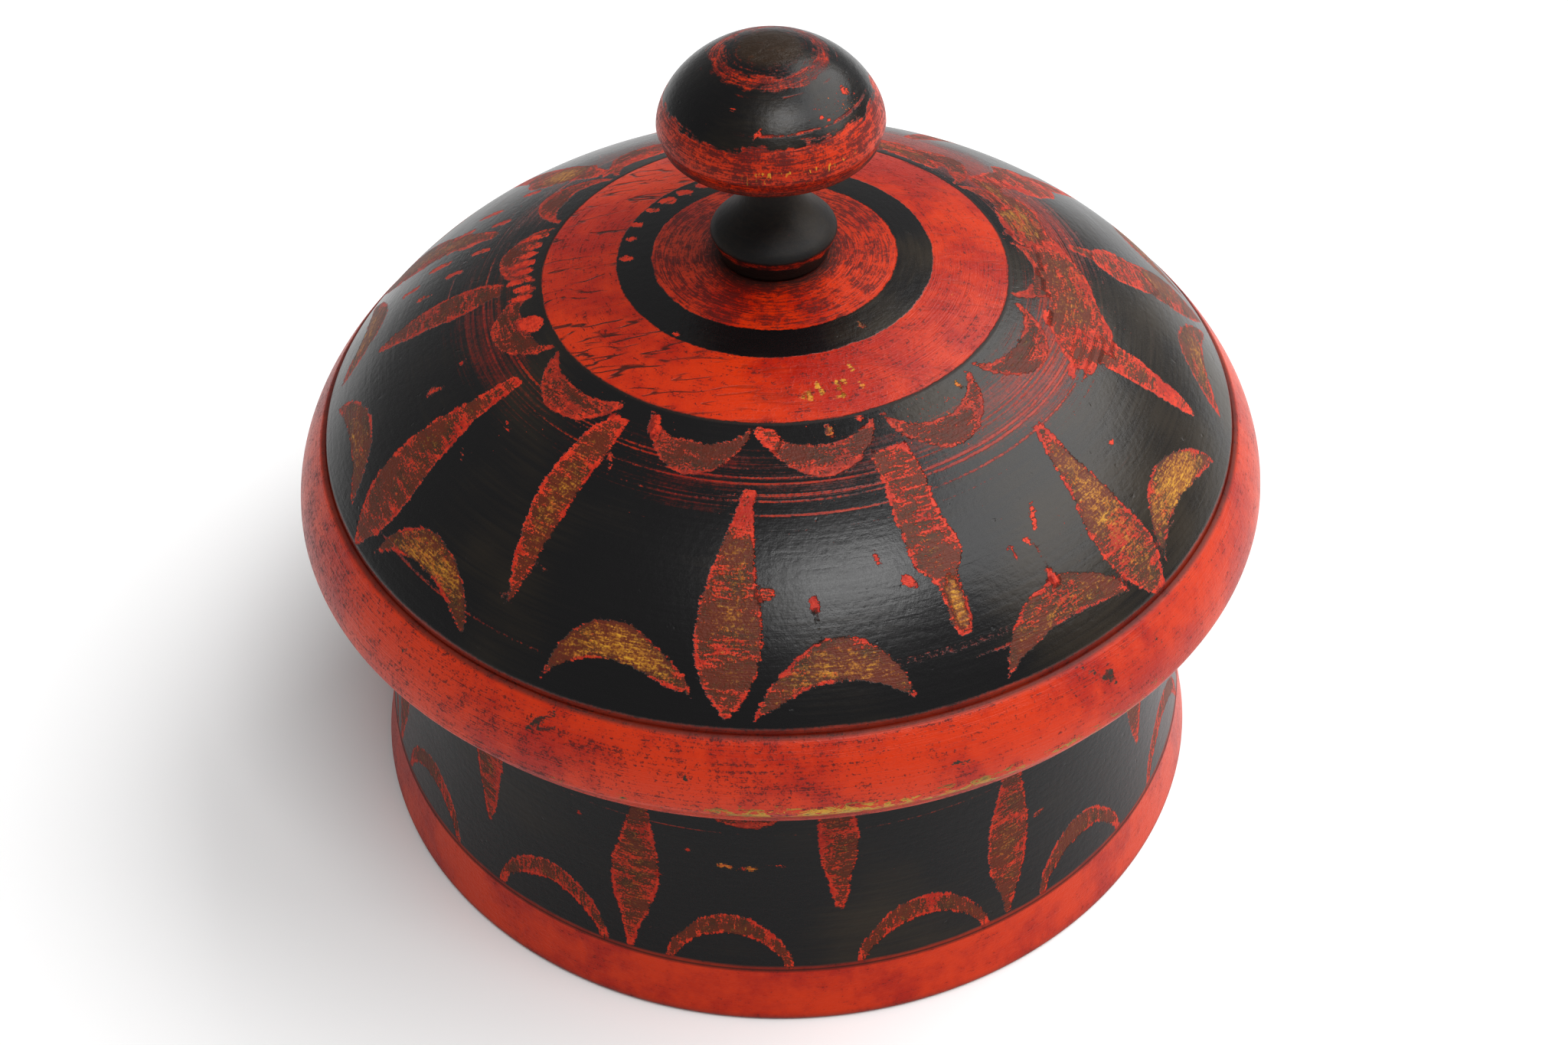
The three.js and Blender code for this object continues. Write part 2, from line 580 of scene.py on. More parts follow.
@dataclass
class Face:
    """The decorated face of a piece.

    Attributes:
        surface: where the piece's vertices lie.
        marks: the radius, height or distance by which places on it are named, at each vertex.
        shown: which vertices belong to the face.
        seed: the seed of the hand's small errors.
    """

    surface: Surface
    marks: np.ndarray
    shown: np.ndarray
    seed: int

    def decorate(self, piece: bpy.types.Object, marks: list[Mark],
                 worn: list[tuple[float, float, float, float]]) -> None:
        """Engrave the face and wear it down.

        Args:
            piece: the piece.
            marks: what is cut into it.
            worn: bearing, mark, reach in millimetres and amount of each worn spot.
        """
        order = np.flatnonzero(self.shown)[np.argsort(self.marks[self.shown])]
        chart = Chart(self.surface, self.marks[order], self.surface.run[order],
                      self.surface.radius[order], self.shown)
        engraver = Engraver(chart, self.seed)
        engraver.engrave(marks)
        engraver.wear_down(worn)
        engraver.finish(piece)


# --- Laying out shader nodes ----------------------------------------------------------------


def lac(red: int, green: int, blue: int) -> Colour:
    """Turn a colour as a screen shows it, 0 to 255, into linear light.

    Args:
        red: its red.
        green: its green.
        blue: its blue.

    Returns:
        The colour, with an alpha of 1.
    """

    def linear(part: float) -> float:
        """Undo the screen's curve for one part of the colour."""
        share = part / 255
        return share / 12.92 if share <= 0.04045 else ((share + 0.055) / 1.055) ** 2.4

    return linear(red), linear(green), linear(blue), 1.0


class Lac:
    """The colours of the coats, the wood and what gathers on them, and the dark colour of painted
    shade.
    """

    BLACK = lac(18, 17, 18)
    WARM_BLACK = lac(46, 38, 27)
    VERMILION = lac(190, 52, 6)
    SCARLET = lac(158, 28, 7)
    OXBLOOD = lac(80, 17, 12)
    EMBER = lac(206, 58, 26)
    RUST = lac(94, 36, 14)
    UMBER = lac(56, 37, 15)
    OCHRE = lac(170, 112, 30)
    YELLOW = lac(205, 156, 44)
    # dark dirt, and also the colour of painted shade in grooves, at feet and under the knob's head
    DIRT_AND_SHADE = lac(34, 20, 15)
    WOOD = lac(150, 98, 58)
    DARK_WOOD = lac(92, 54, 32)


class Bench:
    """Lays nodes in one tree and links them."""

    def __init__(self, tree: bpy.types.NodeTree) -> None:
        """Take the tree to work on."""
        self.tree = tree

    def add(self, kind: str, **settings: object) -> bpy.types.Node:
        """Add a node of one kind with the settings given.

        Args:
            kind: the node's type.
            settings: its properties by name.

        Returns:
            The node.
        """
        node = self.tree.nodes.new(kind)
        for name, value in settings.items():
            setattr(node, name, value)
        return node

    def feed(self, socket: Socket, value: Value) -> None:
        """Link a socket to an input, or set the input's own value.

        Args:
            socket: the input.
            value: a socket to link, or a value to set.
        """
        if isinstance(value, Socket):
            self.tree.links.new(value, socket)
        else:
            socket.default_value = value

    def maths(self, operation: str, *values: Value, clamp: bool = False) -> Socket:
        """Work out one sum on numbers.

        Args:
            operation: the sum, by Blender's name.
            values: what goes in.
            clamp: whether to keep the result from 0 to 1.

        Returns:
            The result.
        """
        node = self.add("ShaderNodeMath", operation=operation, use_clamp=clamp)
        for socket, value in zip(node.inputs, values):
            self.feed(socket, value)
        return node.outputs[0]

    def fold(self, operation: str, terms: list[Value]) -> Socket:
        """Join terms one after another.

        Args:
            operation: the sum, by Blender's name.
            terms: what is joined.

        Returns:
            The result.
        """
        result = terms[0]
        for term in terms[1:]:
            result = self.maths(operation, result, term)
        return result

    def times(self, *terms: Value) -> Socket:
        """Multiply any number of terms."""
        return self.fold("MULTIPLY", list(terms))

    def most(self, *terms: Value) -> Socket:
        """Keep the largest of some masks."""
        return self.fold("MAXIMUM", list(terms))

    def total(self, *terms: Value) -> Socket:
        """Add up terms; a term in brackets is a product of factors."""
        return self.fold("ADD", [self.times(*t) if isinstance(t, tuple) else t for t in terms])

    def less(self, first: Value, second: Value) -> Socket:
        """Take the second from the first."""
        return self.maths("SUBTRACT", first, second)

    def gap(self, first: Value, second: Value) -> Socket:
        """Measure how far two numbers lie apart."""
        return self.maths("ABSOLUTE", self.less(first, second))

    def rest(self, value: Value) -> Socket:
        """Take a mask from one."""
        return self.maths("SUBTRACT", 1.0, value, clamp=True)

    def step(self, value: Value, low: Value, high: Value) -> Socket:
        """Rise smoothly from 0 at low to 1 at high.

        Args:
            value: what is looked at.
            low: where the rise starts.
            high: where it ends.

        Returns:
            The mask.
        """
        node = self.add("ShaderNodeMapRange", interpolation_type="SMOOTHSTEP")
        self.feed(node.inputs["Value"], value)
        self.feed(node.inputs["From Min"], low)
        self.feed(node.inputs["From Max"], high)
        return node.outputs["Result"]

    def fall(self, value: Value, low: Value, high: Value) -> Socket:
        """Fall smoothly from 1 at low to 0 at high."""
        return self.rest(self.step(value, low, high))

    def band(self, value: Value, low: float, high: float, soft: float) -> Socket:
        """Mask the stretch between low and high, with edges of one softness.

        Args:
            value: what is looked at.
            low: where the stretch starts.
            high: where it ends.
            soft: half the width of each edge.

        Returns:
            The mask.
        """
        rise = self.step(value, low - soft, low + soft)
        fall = self.step(value, high - soft, high + soft)
        return self.maths("SUBTRACT", rise, fall, clamp=True)

    def noise(self, place: Socket, scale: float | tuple[float, float, float],
              detail: float = 2.0, roughness: float = 0.55, warp: float = 0.0) -> Socket:
        """Make noise that may be stretched.

        Args:
            place: where it is looked up.
            scale: how fast it changes with the place, one number or one for each axis.
            detail: how many finer layers it has.
            roughness: how strong the finer layers are.
            warp: how much it is folded.

        Returns:
            The noise, mostly within -1 to 1.
        """
        moved = self.add("ShaderNodeVectorMath", operation="MULTIPLY")
        self.feed(moved.inputs[0], place)
        self.feed(moved.inputs[1], scale if isinstance(scale, tuple) else (scale,) * 3)
        node = self.add("ShaderNodeTexNoise")
        self.feed(node.inputs["Vector"], moved.outputs[0])
        for name, value in (("Scale", 1.0), ("Detail", detail), ("Roughness", roughness),
                            ("Distortion", warp)):
            self.feed(node.inputs[name], value)
        return self.maths("MULTIPLY_ADD", node.outputs[0], 4.0, -2.0)

    def mixed(self, kind: str, slots: tuple[int, int, int], share: Value, first: Value,
              second: Value) -> Socket:
        """Mix two values.

        Args:
            kind: Blender's name for their kind.
            slots: the numbers of the mix node's two inputs and one output for that kind.
            share: how much of the second, 0 to 1.
            first: the value at a share of 0.
            second: the value at 1.

        Returns:
            The mix.
        """
        node = self.add("ShaderNodeMix", data_type=kind, clamp_factor=True)
        for slot, value in zip((0, *slots[:2]), (share, first, second), strict=True):
            self.feed(node.inputs[slot], value)
        return node.outputs[slots[2]]

    def blend(self, first: Value, second: Value, share: Value) -> Socket:
        """Mix two colours; a share of 1 is the second."""
        return self.mixed("RGBA", (6, 7, 2), share, first, second)

    def lift(self, first: Value, second: Value, share: Value) -> Socket:
        """Mix two numbers; a share of 1 is the second."""
        return self.mixed("FLOAT", (2, 3, 0), share, first, second)

    def parts(self, place: Socket) -> tuple[Socket, Socket, Socket]:
        """Split a vector into its three numbers.

        Args:
            place: the vector.

        Returns:
            Its x, y and z.
        """
        node = self.add("ShaderNodeSeparateXYZ")
        self.feed(node.inputs[0], place)
        return node.outputs[0], node.outputs[1], node.outputs[2]

    def joined(self, x: Value, y: Value, z: Value) -> Socket:
        """Join three numbers into a vector.

        Args:
            x: the first.
            y: the second.
            z: the third.

        Returns:
            The vector.
        """
        node = self.add("ShaderNodeCombineXYZ")
        for socket, value in zip(node.inputs, (x, y, z), strict=True):
            self.feed(socket, value)
        return node.outputs[0]

    def stored(self, name: str, part: str = "Fac") -> Socket:
        """Read a named field of the mesh."""
        return self.add("ShaderNodeAttribute", attribute_name=name).outputs[part]

    def place(self, tree: bpy.types.NodeTree, **inputs: Value) -> dict[str, Socket]:
        """Place a group and feed its inputs by name.

        Args:
            tree: the group.
            inputs: what each named input gets.

        Returns:
            The group's outputs by name.
        """
        node = self.add("ShaderNodeGroup", node_tree=tree)
        for name, value in inputs.items():
            self.feed(node.inputs[name], value)
        return {socket.name: socket for socket in node.outputs}


KINDS = {"number": "NodeSocketFloat", "vector": "NodeSocketVector", "colour": "NodeSocketColor"}


def new_group(
    name: str, inputs: dict[str, tuple[str, float]], outputs: dict[str, str]
) -> tuple[Bench, dict[str, Socket], dict[str, Socket]]:
    """Start a shader node group.

    Args:
        name: the group's name.
        inputs: the kind and the first value of each input.
        outputs: the kind of each output.

    Returns:
        A bench on the group, its inputs to read from and its outputs to feed.
    """
    tree = bpy.data.node_groups.new(name, "ShaderNodeTree")
    for label, (kind, first) in inputs.items():
        made = tree.interface.new_socket(name=label, in_out="INPUT", socket_type=KINDS[kind])
        if kind == "number":
            made.default_value = first
    for label, kind in outputs.items():
        tree.interface.new_socket(name=label, in_out="OUTPUT", socket_type=KINDS[kind])
    bench = Bench(tree)
    source, sink = bench.add("NodeGroupInput"), bench.add("NodeGroupOutput")
    return (
        bench,
        {label: source.outputs[label] for label in inputs},
        {label: sink.inputs[label] for label in outputs},
    )


@cache
def turning_group() -> bpy.types.NodeTree:
    """Build the group that works out where a point lies on a turned piece.

    Returns:
        The group. Its Turning output has the direction from the axis and the run, so noise
        stretched along it lies round the piece and has no seam.
    """
    bench, given, made = new_group(
        "turning",
        {"Object": ("vector", 0.0), "Run": ("number", 0.0)},
        {"Place": "vector", "Radius": "number", "Height": "number", "Turning": "vector"},
    )
    scaled = bench.add("ShaderNodeVectorMath", operation="SCALE")
    bench.feed(scaled.inputs[0], given["Object"])
    bench.feed(scaled.inputs["Scale"], 1 / MM)
    x, y, z = bench.parts(scaled.outputs[0])
    radius = bench.maths("SQRT", bench.total((x, x), (y, y), 1e-4))
    turning = bench.joined(
        bench.maths("DIVIDE", x, radius), bench.maths("DIVIDE", y, radius), given["Run"]
    )
    bench.feed(made["Place"], scaled.outputs[0])
    bench.feed(made["Radius"], radius)
    bench.feed(made["Height"], z)
    bench.feed(made["Turning"], turning)
    return bench.tree


@cache
def red_lac_group() -> bpy.types.NodeTree:
    """Build the red coat: leathery, streaked by the lathe and dark where it is thin.

    Returns:
        The group. Its darkening input, age and any painted shade or highlight, darkens it; Streaks
        draws lines round it and Leather mottles it.
    """
    bench, given, made = new_group(
        "red_lac",
        {"Place": ("vector", 0.0), "Turning": ("vector", 0.0), "Age": ("number", 0.3),
         "Streaks": ("number", 0.5), "Leather": ("number", 0.5)},
        {"Colour": "colour", "Height": "number", "Roughness": "number"},
    )
    place, turning = given["Place"], given["Turning"]
    broad = bench.noise(place, 0.06, 2)
    leather = bench.noise(place, 1.3, 4, 0.65, 0.6)
    scurf = bench.noise(place, 0.32, 3, 0.6)
    grit = bench.noise(place, 3.2, 2, 0.6)
    streak = bench.noise(turning, (5.0, 5.0, 2.2), 4, 0.72)
    lines = bench.noise(turning, (3.0, 3.0, 5.0), 2, 0.6)
    colour = bench.blend(Lac.VERMILION, Lac.SCARLET,
                         bench.step(bench.total(broad, (scurf, 0.5)), -0.6, 0.9))
    dark = bench.total(
        (leather, given["Leather"], 0.95), (streak, given["Streaks"], 0.75),
        (lines, given["Streaks"], 0.45), (grit, given["Leather"], 0.6), (scurf, 0.3),
        (broad, 0.15), given["Age"], -0.52)
    colour = bench.blend(colour, Lac.OXBLOOD, bench.times(bench.step(dark, 0.0, 0.65), 0.9))
    bench.feed(made["Colour"], colour)
    bench.feed(made["Height"], bench.total((leather, 0.022), (lines, given["Streaks"], 0.022),
                                           (scurf, 0.02)))
    bench.feed(made["Roughness"], bench.total(0.34, (leather, 0.05),
                                              (bench.step(dark, 0, 0.6), 0.12)))
    return bench.tree


@cache
def black_lac_group() -> bpy.types.NodeTree:
    """Build the black coat: pebbled, finely scratched and a little browned in places.

    Returns:
        The group. Warmth browns it.
    """
    bench, given, made = new_group(
        "black_lac",
        {"Place": ("vector", 0.0), "Turning": ("vector", 0.0), "Warmth": ("number", 0.0)},
        {"Colour": "colour", "Height": "number", "Roughness": "number"},
    )
    place, turning = given["Place"], given["Turning"]
    broad = bench.noise(place, 0.035, 2)
    pebble = bench.noise(place, 0.75, 3, 0.55)
    dent = bench.step(bench.noise(place, 0.5, 2, 0.5), 0.75, 1.25)
    fine = bench.noise(place, 4.0, 1)
    lathe = bench.noise(turning, (4.0, 4.0, 1.4), 3, 0.6)
    warm = bench.step(bench.total(broad, given["Warmth"], (lathe, 0.3)), 0.0, 1.6)
    bench.feed(made["Colour"], bench.blend(Lac.BLACK, Lac.WARM_BLACK, warm))
    bench.feed(made["Height"], bench.total((pebble, 0.014), (fine, 0.0018), (lathe, 0.007),
                                           (dent, -0.05)))
    bench.feed(made["Roughness"], bench.total(0.285, (broad, 0.05), (fine, 0.03), (lathe, 0.03)))
    return bench.tree


@cache
def scrape_group() -> bpy.types.NodeTree:
    """Build what the blade uncovers: a ragged red edge, brown chatter and some yellow.

    Returns:
        The group. It reads the fields that the engraver writes.
    """
    bench, given, made = new_group(
        "scraped_lac",
        {"Place": ("vector", 0.0), "Depth": ("number", -6.0), "Stroke": ("vector", 0.0),
         "Tone": ("vector", 0.0)},
        {"Colour": "colour", "Mask": "number", "Height": "number"},
    )
    place, stroke = given["Place"], given["Stroke"]
    ochre, glow, smoke = bench.parts(given["Tone"])
    rib = bench.noise(stroke, (0.62, 0.13, 3.1), 4, 0.7, 0.6)
    comb = bench.noise(stroke, (2.8, 0.5, 5.3), 2, 0.6)
    grit = bench.noise(place, 2.6, 2, 0.6)
    crumb = bench.noise(place, 1.0, 3, 0.6)
    patch = bench.noise(place, 0.15, 2, 0.5)
    depth = bench.total(given["Depth"], (rib, 0.30), (comb, 0.20), (crumb, 0.30), (grit, 0.12))
    mask = bench.step(depth, -0.05, 0.18)
    edge = bench.fall(depth, 0.1, 1.0)
    redness = bench.total(
        (edge, bench.total(0.5, (crumb, 0.5), (patch, 0.5))), (glow, 0.75), (rib, 0.80),
        (comb, 0.55), (grit, 0.75), (patch, 0.8), (smoke, -0.45), -0.58)
    red = bench.times(bench.step(redness, -0.1, 0.4), 0.95)
    ground = bench.blend(Lac.RUST, Lac.UMBER, bench.step(
        bench.total(patch, (grit, 0.7), (rib, -0.3), (comb, 0.5)), -0.5, 0.6))
    ground = bench.blend(ground, Lac.OXBLOOD, bench.times(smoke, 0.8))
    gold = bench.step(bench.total((ochre, 1.7), (comb, 0.5), (grit, 0.55), (crumb, 0.45),
                                  (edge, -0.7), -0.72), -0.1, 0.9)
    streaked = bench.step(bench.total(comb, grit, (crumb, 0.5)), -0.7, 0.7)
    gold = bench.times(gold, bench.lift(0.45, 1.0, streaked))
    colour = bench.blend(ground, Lac.OCHRE, bench.times(gold, 0.8))
    bright = bench.step(bench.total((gold, 0.6), (comb, 0.5), (ochre, 0.45)), 0.85, 1.5)
    colour = bench.blend(colour, Lac.YELLOW, bench.times(bright, 0.75))
    hot = bench.blend(Lac.EMBER, Lac.SCARLET, bench.step(bench.total(patch, crumb), -0.6, 1.2))
    colour = bench.blend(colour, hot, bench.times(red, bench.rest(bench.times(gold, 0.6))))
    veil = bench.times(smoke, bench.step(bench.total(comb, crumb, (patch, 0.6)), -0.9, 0.7), 1.25)
    colour = bench.blend(colour, Lac.WARM_BLACK, veil)
    bench.feed(made["Colour"], colour)
    bench.feed(made["Mask"], mask)
    bench.feed(made["Height"], bench.times(mask, bench.total(-0.07, (rib, 0.035), (comb, 0.02),
                                                             (grit, 0.018), (red, 0.03))))
    return bench.tree


@cache
def chips_group() -> bpy.types.NodeTree:
    """Build the small chips that show the coat below, thicker where a surface is worn.

    Returns:
        The group. Wear raises their number, Size sets how fine they are.
    """
    bench, given, made = new_group(
        "chips",
        {"Place": ("vector", 0.0), "Wear": ("number", 0.0), "Size": ("number", 1.0)},
        {"Mask": "number", "Yellow": "number"},
    )
    scaled = bench.add("ShaderNodeVectorMath", operation="SCALE")
    bench.feed(scaled.inputs[0], given["Place"])
    bench.feed(scaled.inputs["Scale"], given["Size"])
    fleck = bench.noise(scaled.outputs[0], 0.9, 3, 0.6, 0.4)
    dust = bench.noise(scaled.outputs[0], 2.2, 2, 0.5)
    cluster = bench.noise(given["Place"], 0.09, 2)
    limit = bench.less(1.28, bench.total((given["Wear"], 0.8), (cluster, 0.22)))
    flecks = bench.step(fleck, limit, bench.total(limit, 0.10))
    specks = bench.step(dust, bench.total(limit, 0.0), bench.total(limit, 0.16))
    bench.feed(made["Mask"], bench.most(flecks, specks))
    yellow = bench.noise(given["Place"], 0.21, 1)
    bench.feed(made["Yellow"], bench.step(yellow, 0.45, 0.9))
    return bench.tree


@cache
def pits_group() -> bpy.types.NodeTree:
    """Build dark pits and short scratches, in clusters.

    Returns:
        The group. Amount sets how many there are.
    """
    bench, given, made = new_group(
        "pits",
        {"Place": ("vector", 0.0), "Turning": ("vector", 0.0), "Amount": ("number", 0.5)},
        {"Mask": "number"},
    )
    pit = bench.noise(given["Place"], 1.25, 3, 0.6, 0.3)
    scratch = bench.noise(given["Turning"], (9.0, 9.0, 2.4), 3, 0.65)
    cluster = bench.noise(given["Place"], 0.07, 2)
    limit = bench.less(1.5, bench.total((given["Amount"], 0.6), (cluster, 0.35)))
    pits = bench.step(pit, limit, bench.total(limit, 0.2))
    lines = bench.step(scratch, limit, bench.total(limit, 0.25))
    bench.feed(made["Mask"], bench.most(pits, bench.times(lines, 0.7)))
    return bench.tree


@cache
def grain_group() -> bpy.types.NodeTree:
    """Build the cracks that the wood's grain, which runs along X, has opened in the lac.

    Returns:
        The group, with one mask.
    """
    bench, given, made = new_group(
        "grain_cracks", {"Place": ("vector", 0.0), "Amount": ("number", 1.0)}, {"Mask": "number"}
    )
    fibre = bench.noise(given["Place"], (0.045, 0.34, 0.34), 2, 0.5, 0.15)
    breaks = bench.noise(given["Place"], (0.13, 0.5, 0.13), 2)
    near = bench.fall(bench.maths("ABSOLUTE", fibre), 0.03, 0.13)
    mask = bench.times(near, bench.step(breaks, -0.25, 0.35), given["Amount"])
    bench.feed(made["Mask"], mask)
    return bench.tree


# --- Finishes -------------------------------------------------------------------------------


@dataclass
class Coated:
    """The layers of one lacquered surface while its material is being laid out.

    Attributes:
        bench: the material's bench.
        place: the point in millimetres.
        radius: its distance from the axis.
        height: its height above the ground.
        turning: the direction and run, for streaks round the axis.
        run: the run alone.
    """

    bench: Bench
    place: Socket
    radius: Socket
    height: Socket
    turning: Socket
    run: Socket

    @classmethod
    def start(cls, name: str) -> tuple[bpy.types.Material, "Coated"]:
        """Start a material and find each point on its piece.

        Args:
            name: the material's name.

        Returns:
            The material and the layers to build on.
        """
        material = bpy.data.materials.new(name)
        material.use_nodes = True
        bench = Bench(material.node_tree)
        run = bench.stored("run")
        made = bench.place(turning_group(), Object=bench.add("ShaderNodeTexCoord").outputs["Object"],
                           Run=run)
        return material, cls(bench, made["Place"], made["Radius"], made["Height"],
                             made["Turning"], run)

    def bearing_mask(self, bearing: float, half: float) -> Socket:
        """Mask one side of the piece.

        Args:
            bearing: the middle of the side, in degrees.
            half: half of its width, in degrees.

        Returns:
            1 at the middle, falling to 0 past the half-width.
        """
        bench = self.bench
        x, y, _ = bench.parts(self.turning)
        facing = bench.total((x, math.cos(math.radians(bearing))),
                             (y, math.sin(math.radians(bearing))))
        return bench.step(facing, math.cos(math.radians(half * 1.3)),
                          math.cos(math.radians(half * 0.7)))

    def pits(self, amount: Value) -> Socket:
        """Mask the dark pits and scratches; the amount sets how many there are."""
        return self.bench.place(pits_group(), Place=self.place, Turning=self.turning,
                                Amount=amount)["Mask"]

    def close(self, material: bpy.types.Material, colour: Socket, roughness: Value,
              height: Socket, shine: float) -> None:
        """Feed the material's shader.

        Args:
            material: the material.
            colour: its colour.
            roughness: its roughness.
            height: its relief in millimetres.
            shine: how strongly it reflects, 0 to 1.
        """
        bench = self.bench
        shader = material.node_tree.nodes["Principled BSDF"]
        shader.inputs["Specular IOR Level"].default_value = shine
        bump = bench.add("ShaderNodeBump")
        bump.inputs["Strength"].default_value = 1.0
        bump.inputs["Distance"].default_value = MM
        bench.feed(bump.inputs["Height"], height)
        bench.feed(shader.inputs["Base Color"], colour)
        bench.feed(shader.inputs["Roughness"], bench.maths("MAXIMUM", roughness, 0.15))
        bench.feed(shader.inputs["Normal"], bump.outputs["Normal"])


@dataclass(frozen=True)
class ScrapedLac:
    """Black lac over red, scraped in a pattern: what bowl, lid and knob share.

    Attributes:
        name: the material's name.
        age: how dark the red has gone.
        streaks: how strongly the lathe shows in the red.
        leather: how mottled the red is.
        chip_size: how fine the chips are; higher is finer.
        shine: how strongly it reflects, 0 to 1.
    """

    name: str
    age: float = 0.3
    streaks: float = 0.5
    leather: float = 0.5
    chip_size: float = 1.0
    shine: float = 0.33

    def black_cover(self, layers: Coated) -> Socket:
        """Say where the black coat lies; each piece has its own bands."""
        raise NotImplementedError

    def lathe_lines(self, layers: Coated) -> Socket:
        """Say where the lathe has cut thin red lines through the black."""
        raise NotImplementedError

    def grime_and_shade(self, layers: Coated) -> Socket:
        """Say where dirt has gathered and where shade is painted."""
        raise NotImplementedError

    def age_and_shading(self, layers: Coated) -> Value:
        """Say how dark the red is from place to place."""
        return self.age

    def mottling(self, layers: Coated) -> Value:
        """Say how mottled the red is from place to place."""
        return self.leather

    def haze(self, layers: Coated) -> Value:
        """Say where the black is so thin that the red glows through."""
        return 0.0

    def warmth(self, layers: Coated) -> Value:
        """Say where the black has browned."""
        return 0.0

    def dullness(self, layers: Coated) -> Value:
        """Say where handling or dirt has taken the gloss off."""
        return 0.0

    def extra(self, layers: Coated, colour: Socket, height: Socket) -> tuple[Socket, Socket]:
        """Add what only one piece has."""
        return colour, height

    def make(self) -> bpy.types.Material:
        """Lay out the material.

        Returns:
            The material.
        """
        material, layers = Coated.start(self.name)
        bench, place, turning = layers.bench, layers.place, layers.turning
        red = bench.place(red_lac_group(), Place=place, Turning=turning,
                          Age=self.age_and_shading(layers), Streaks=self.streaks,
                          Leather=self.mottling(layers))
        black = bench.place(black_lac_group(), Place=place, Turning=turning,
                            Warmth=self.warmth(layers))
        wear = bench.stored("wear")
        scraped = bench.place(
            scrape_group(), Place=place, Depth=bench.stored("scrape_depth"),
            Stroke=bench.stored("stroke", "Vector"), Tone=bench.stored("scrape_tone", "Vector"))
        chips = bench.place(chips_group(), Place=place, Wear=wear, Size=self.chip_size)
        lines = self.lathe_lines(layers)
        cover = self.black_cover(layers)
        bare = bench.most(chips["Mask"], lines)
        cover_left = bench.times(cover, bench.rest(bare), bench.rest(self.haze(layers)))
        chip_colour = bench.blend(Lac.EMBER, Lac.YELLOW, bench.times(chips["Yellow"], 0.5))
        under = bench.blend(red["Colour"], chip_colour, bench.times(cover, chips["Mask"]))
        under = bench.blend(under, Lac.OXBLOOD, bench.times(lines, cover, 0.35))
        colour = bench.blend(under, black["Colour"], cover_left)
        colour = bench.blend(colour, scraped["Colour"], scraped["Mask"])
        left = bench.times(cover_left, bench.rest(scraped["Mask"]))
        height = bench.total(bench.lift(red["Height"], black["Height"], left), (left, 0.05),
                             scraped["Height"])
        # dirt and painted shade go on together, in the dirt colour
        grime_and_shade = self.grime_and_shade(layers)
        colour = bench.blend(colour, Lac.DIRT_AND_SHADE, grime_and_shade)
        colour, height = self.extra(layers, colour, height)
        rough = bench.lift(red["Roughness"], black["Roughness"], left)
        rough = bench.lift(rough, 0.48, scraped["Mask"])
        rough = bench.lift(rough, 0.62, bench.most(grime_and_shade, self.dullness(layers)))
        layers.close(material, colour, rough, height, self.shine)
        return material


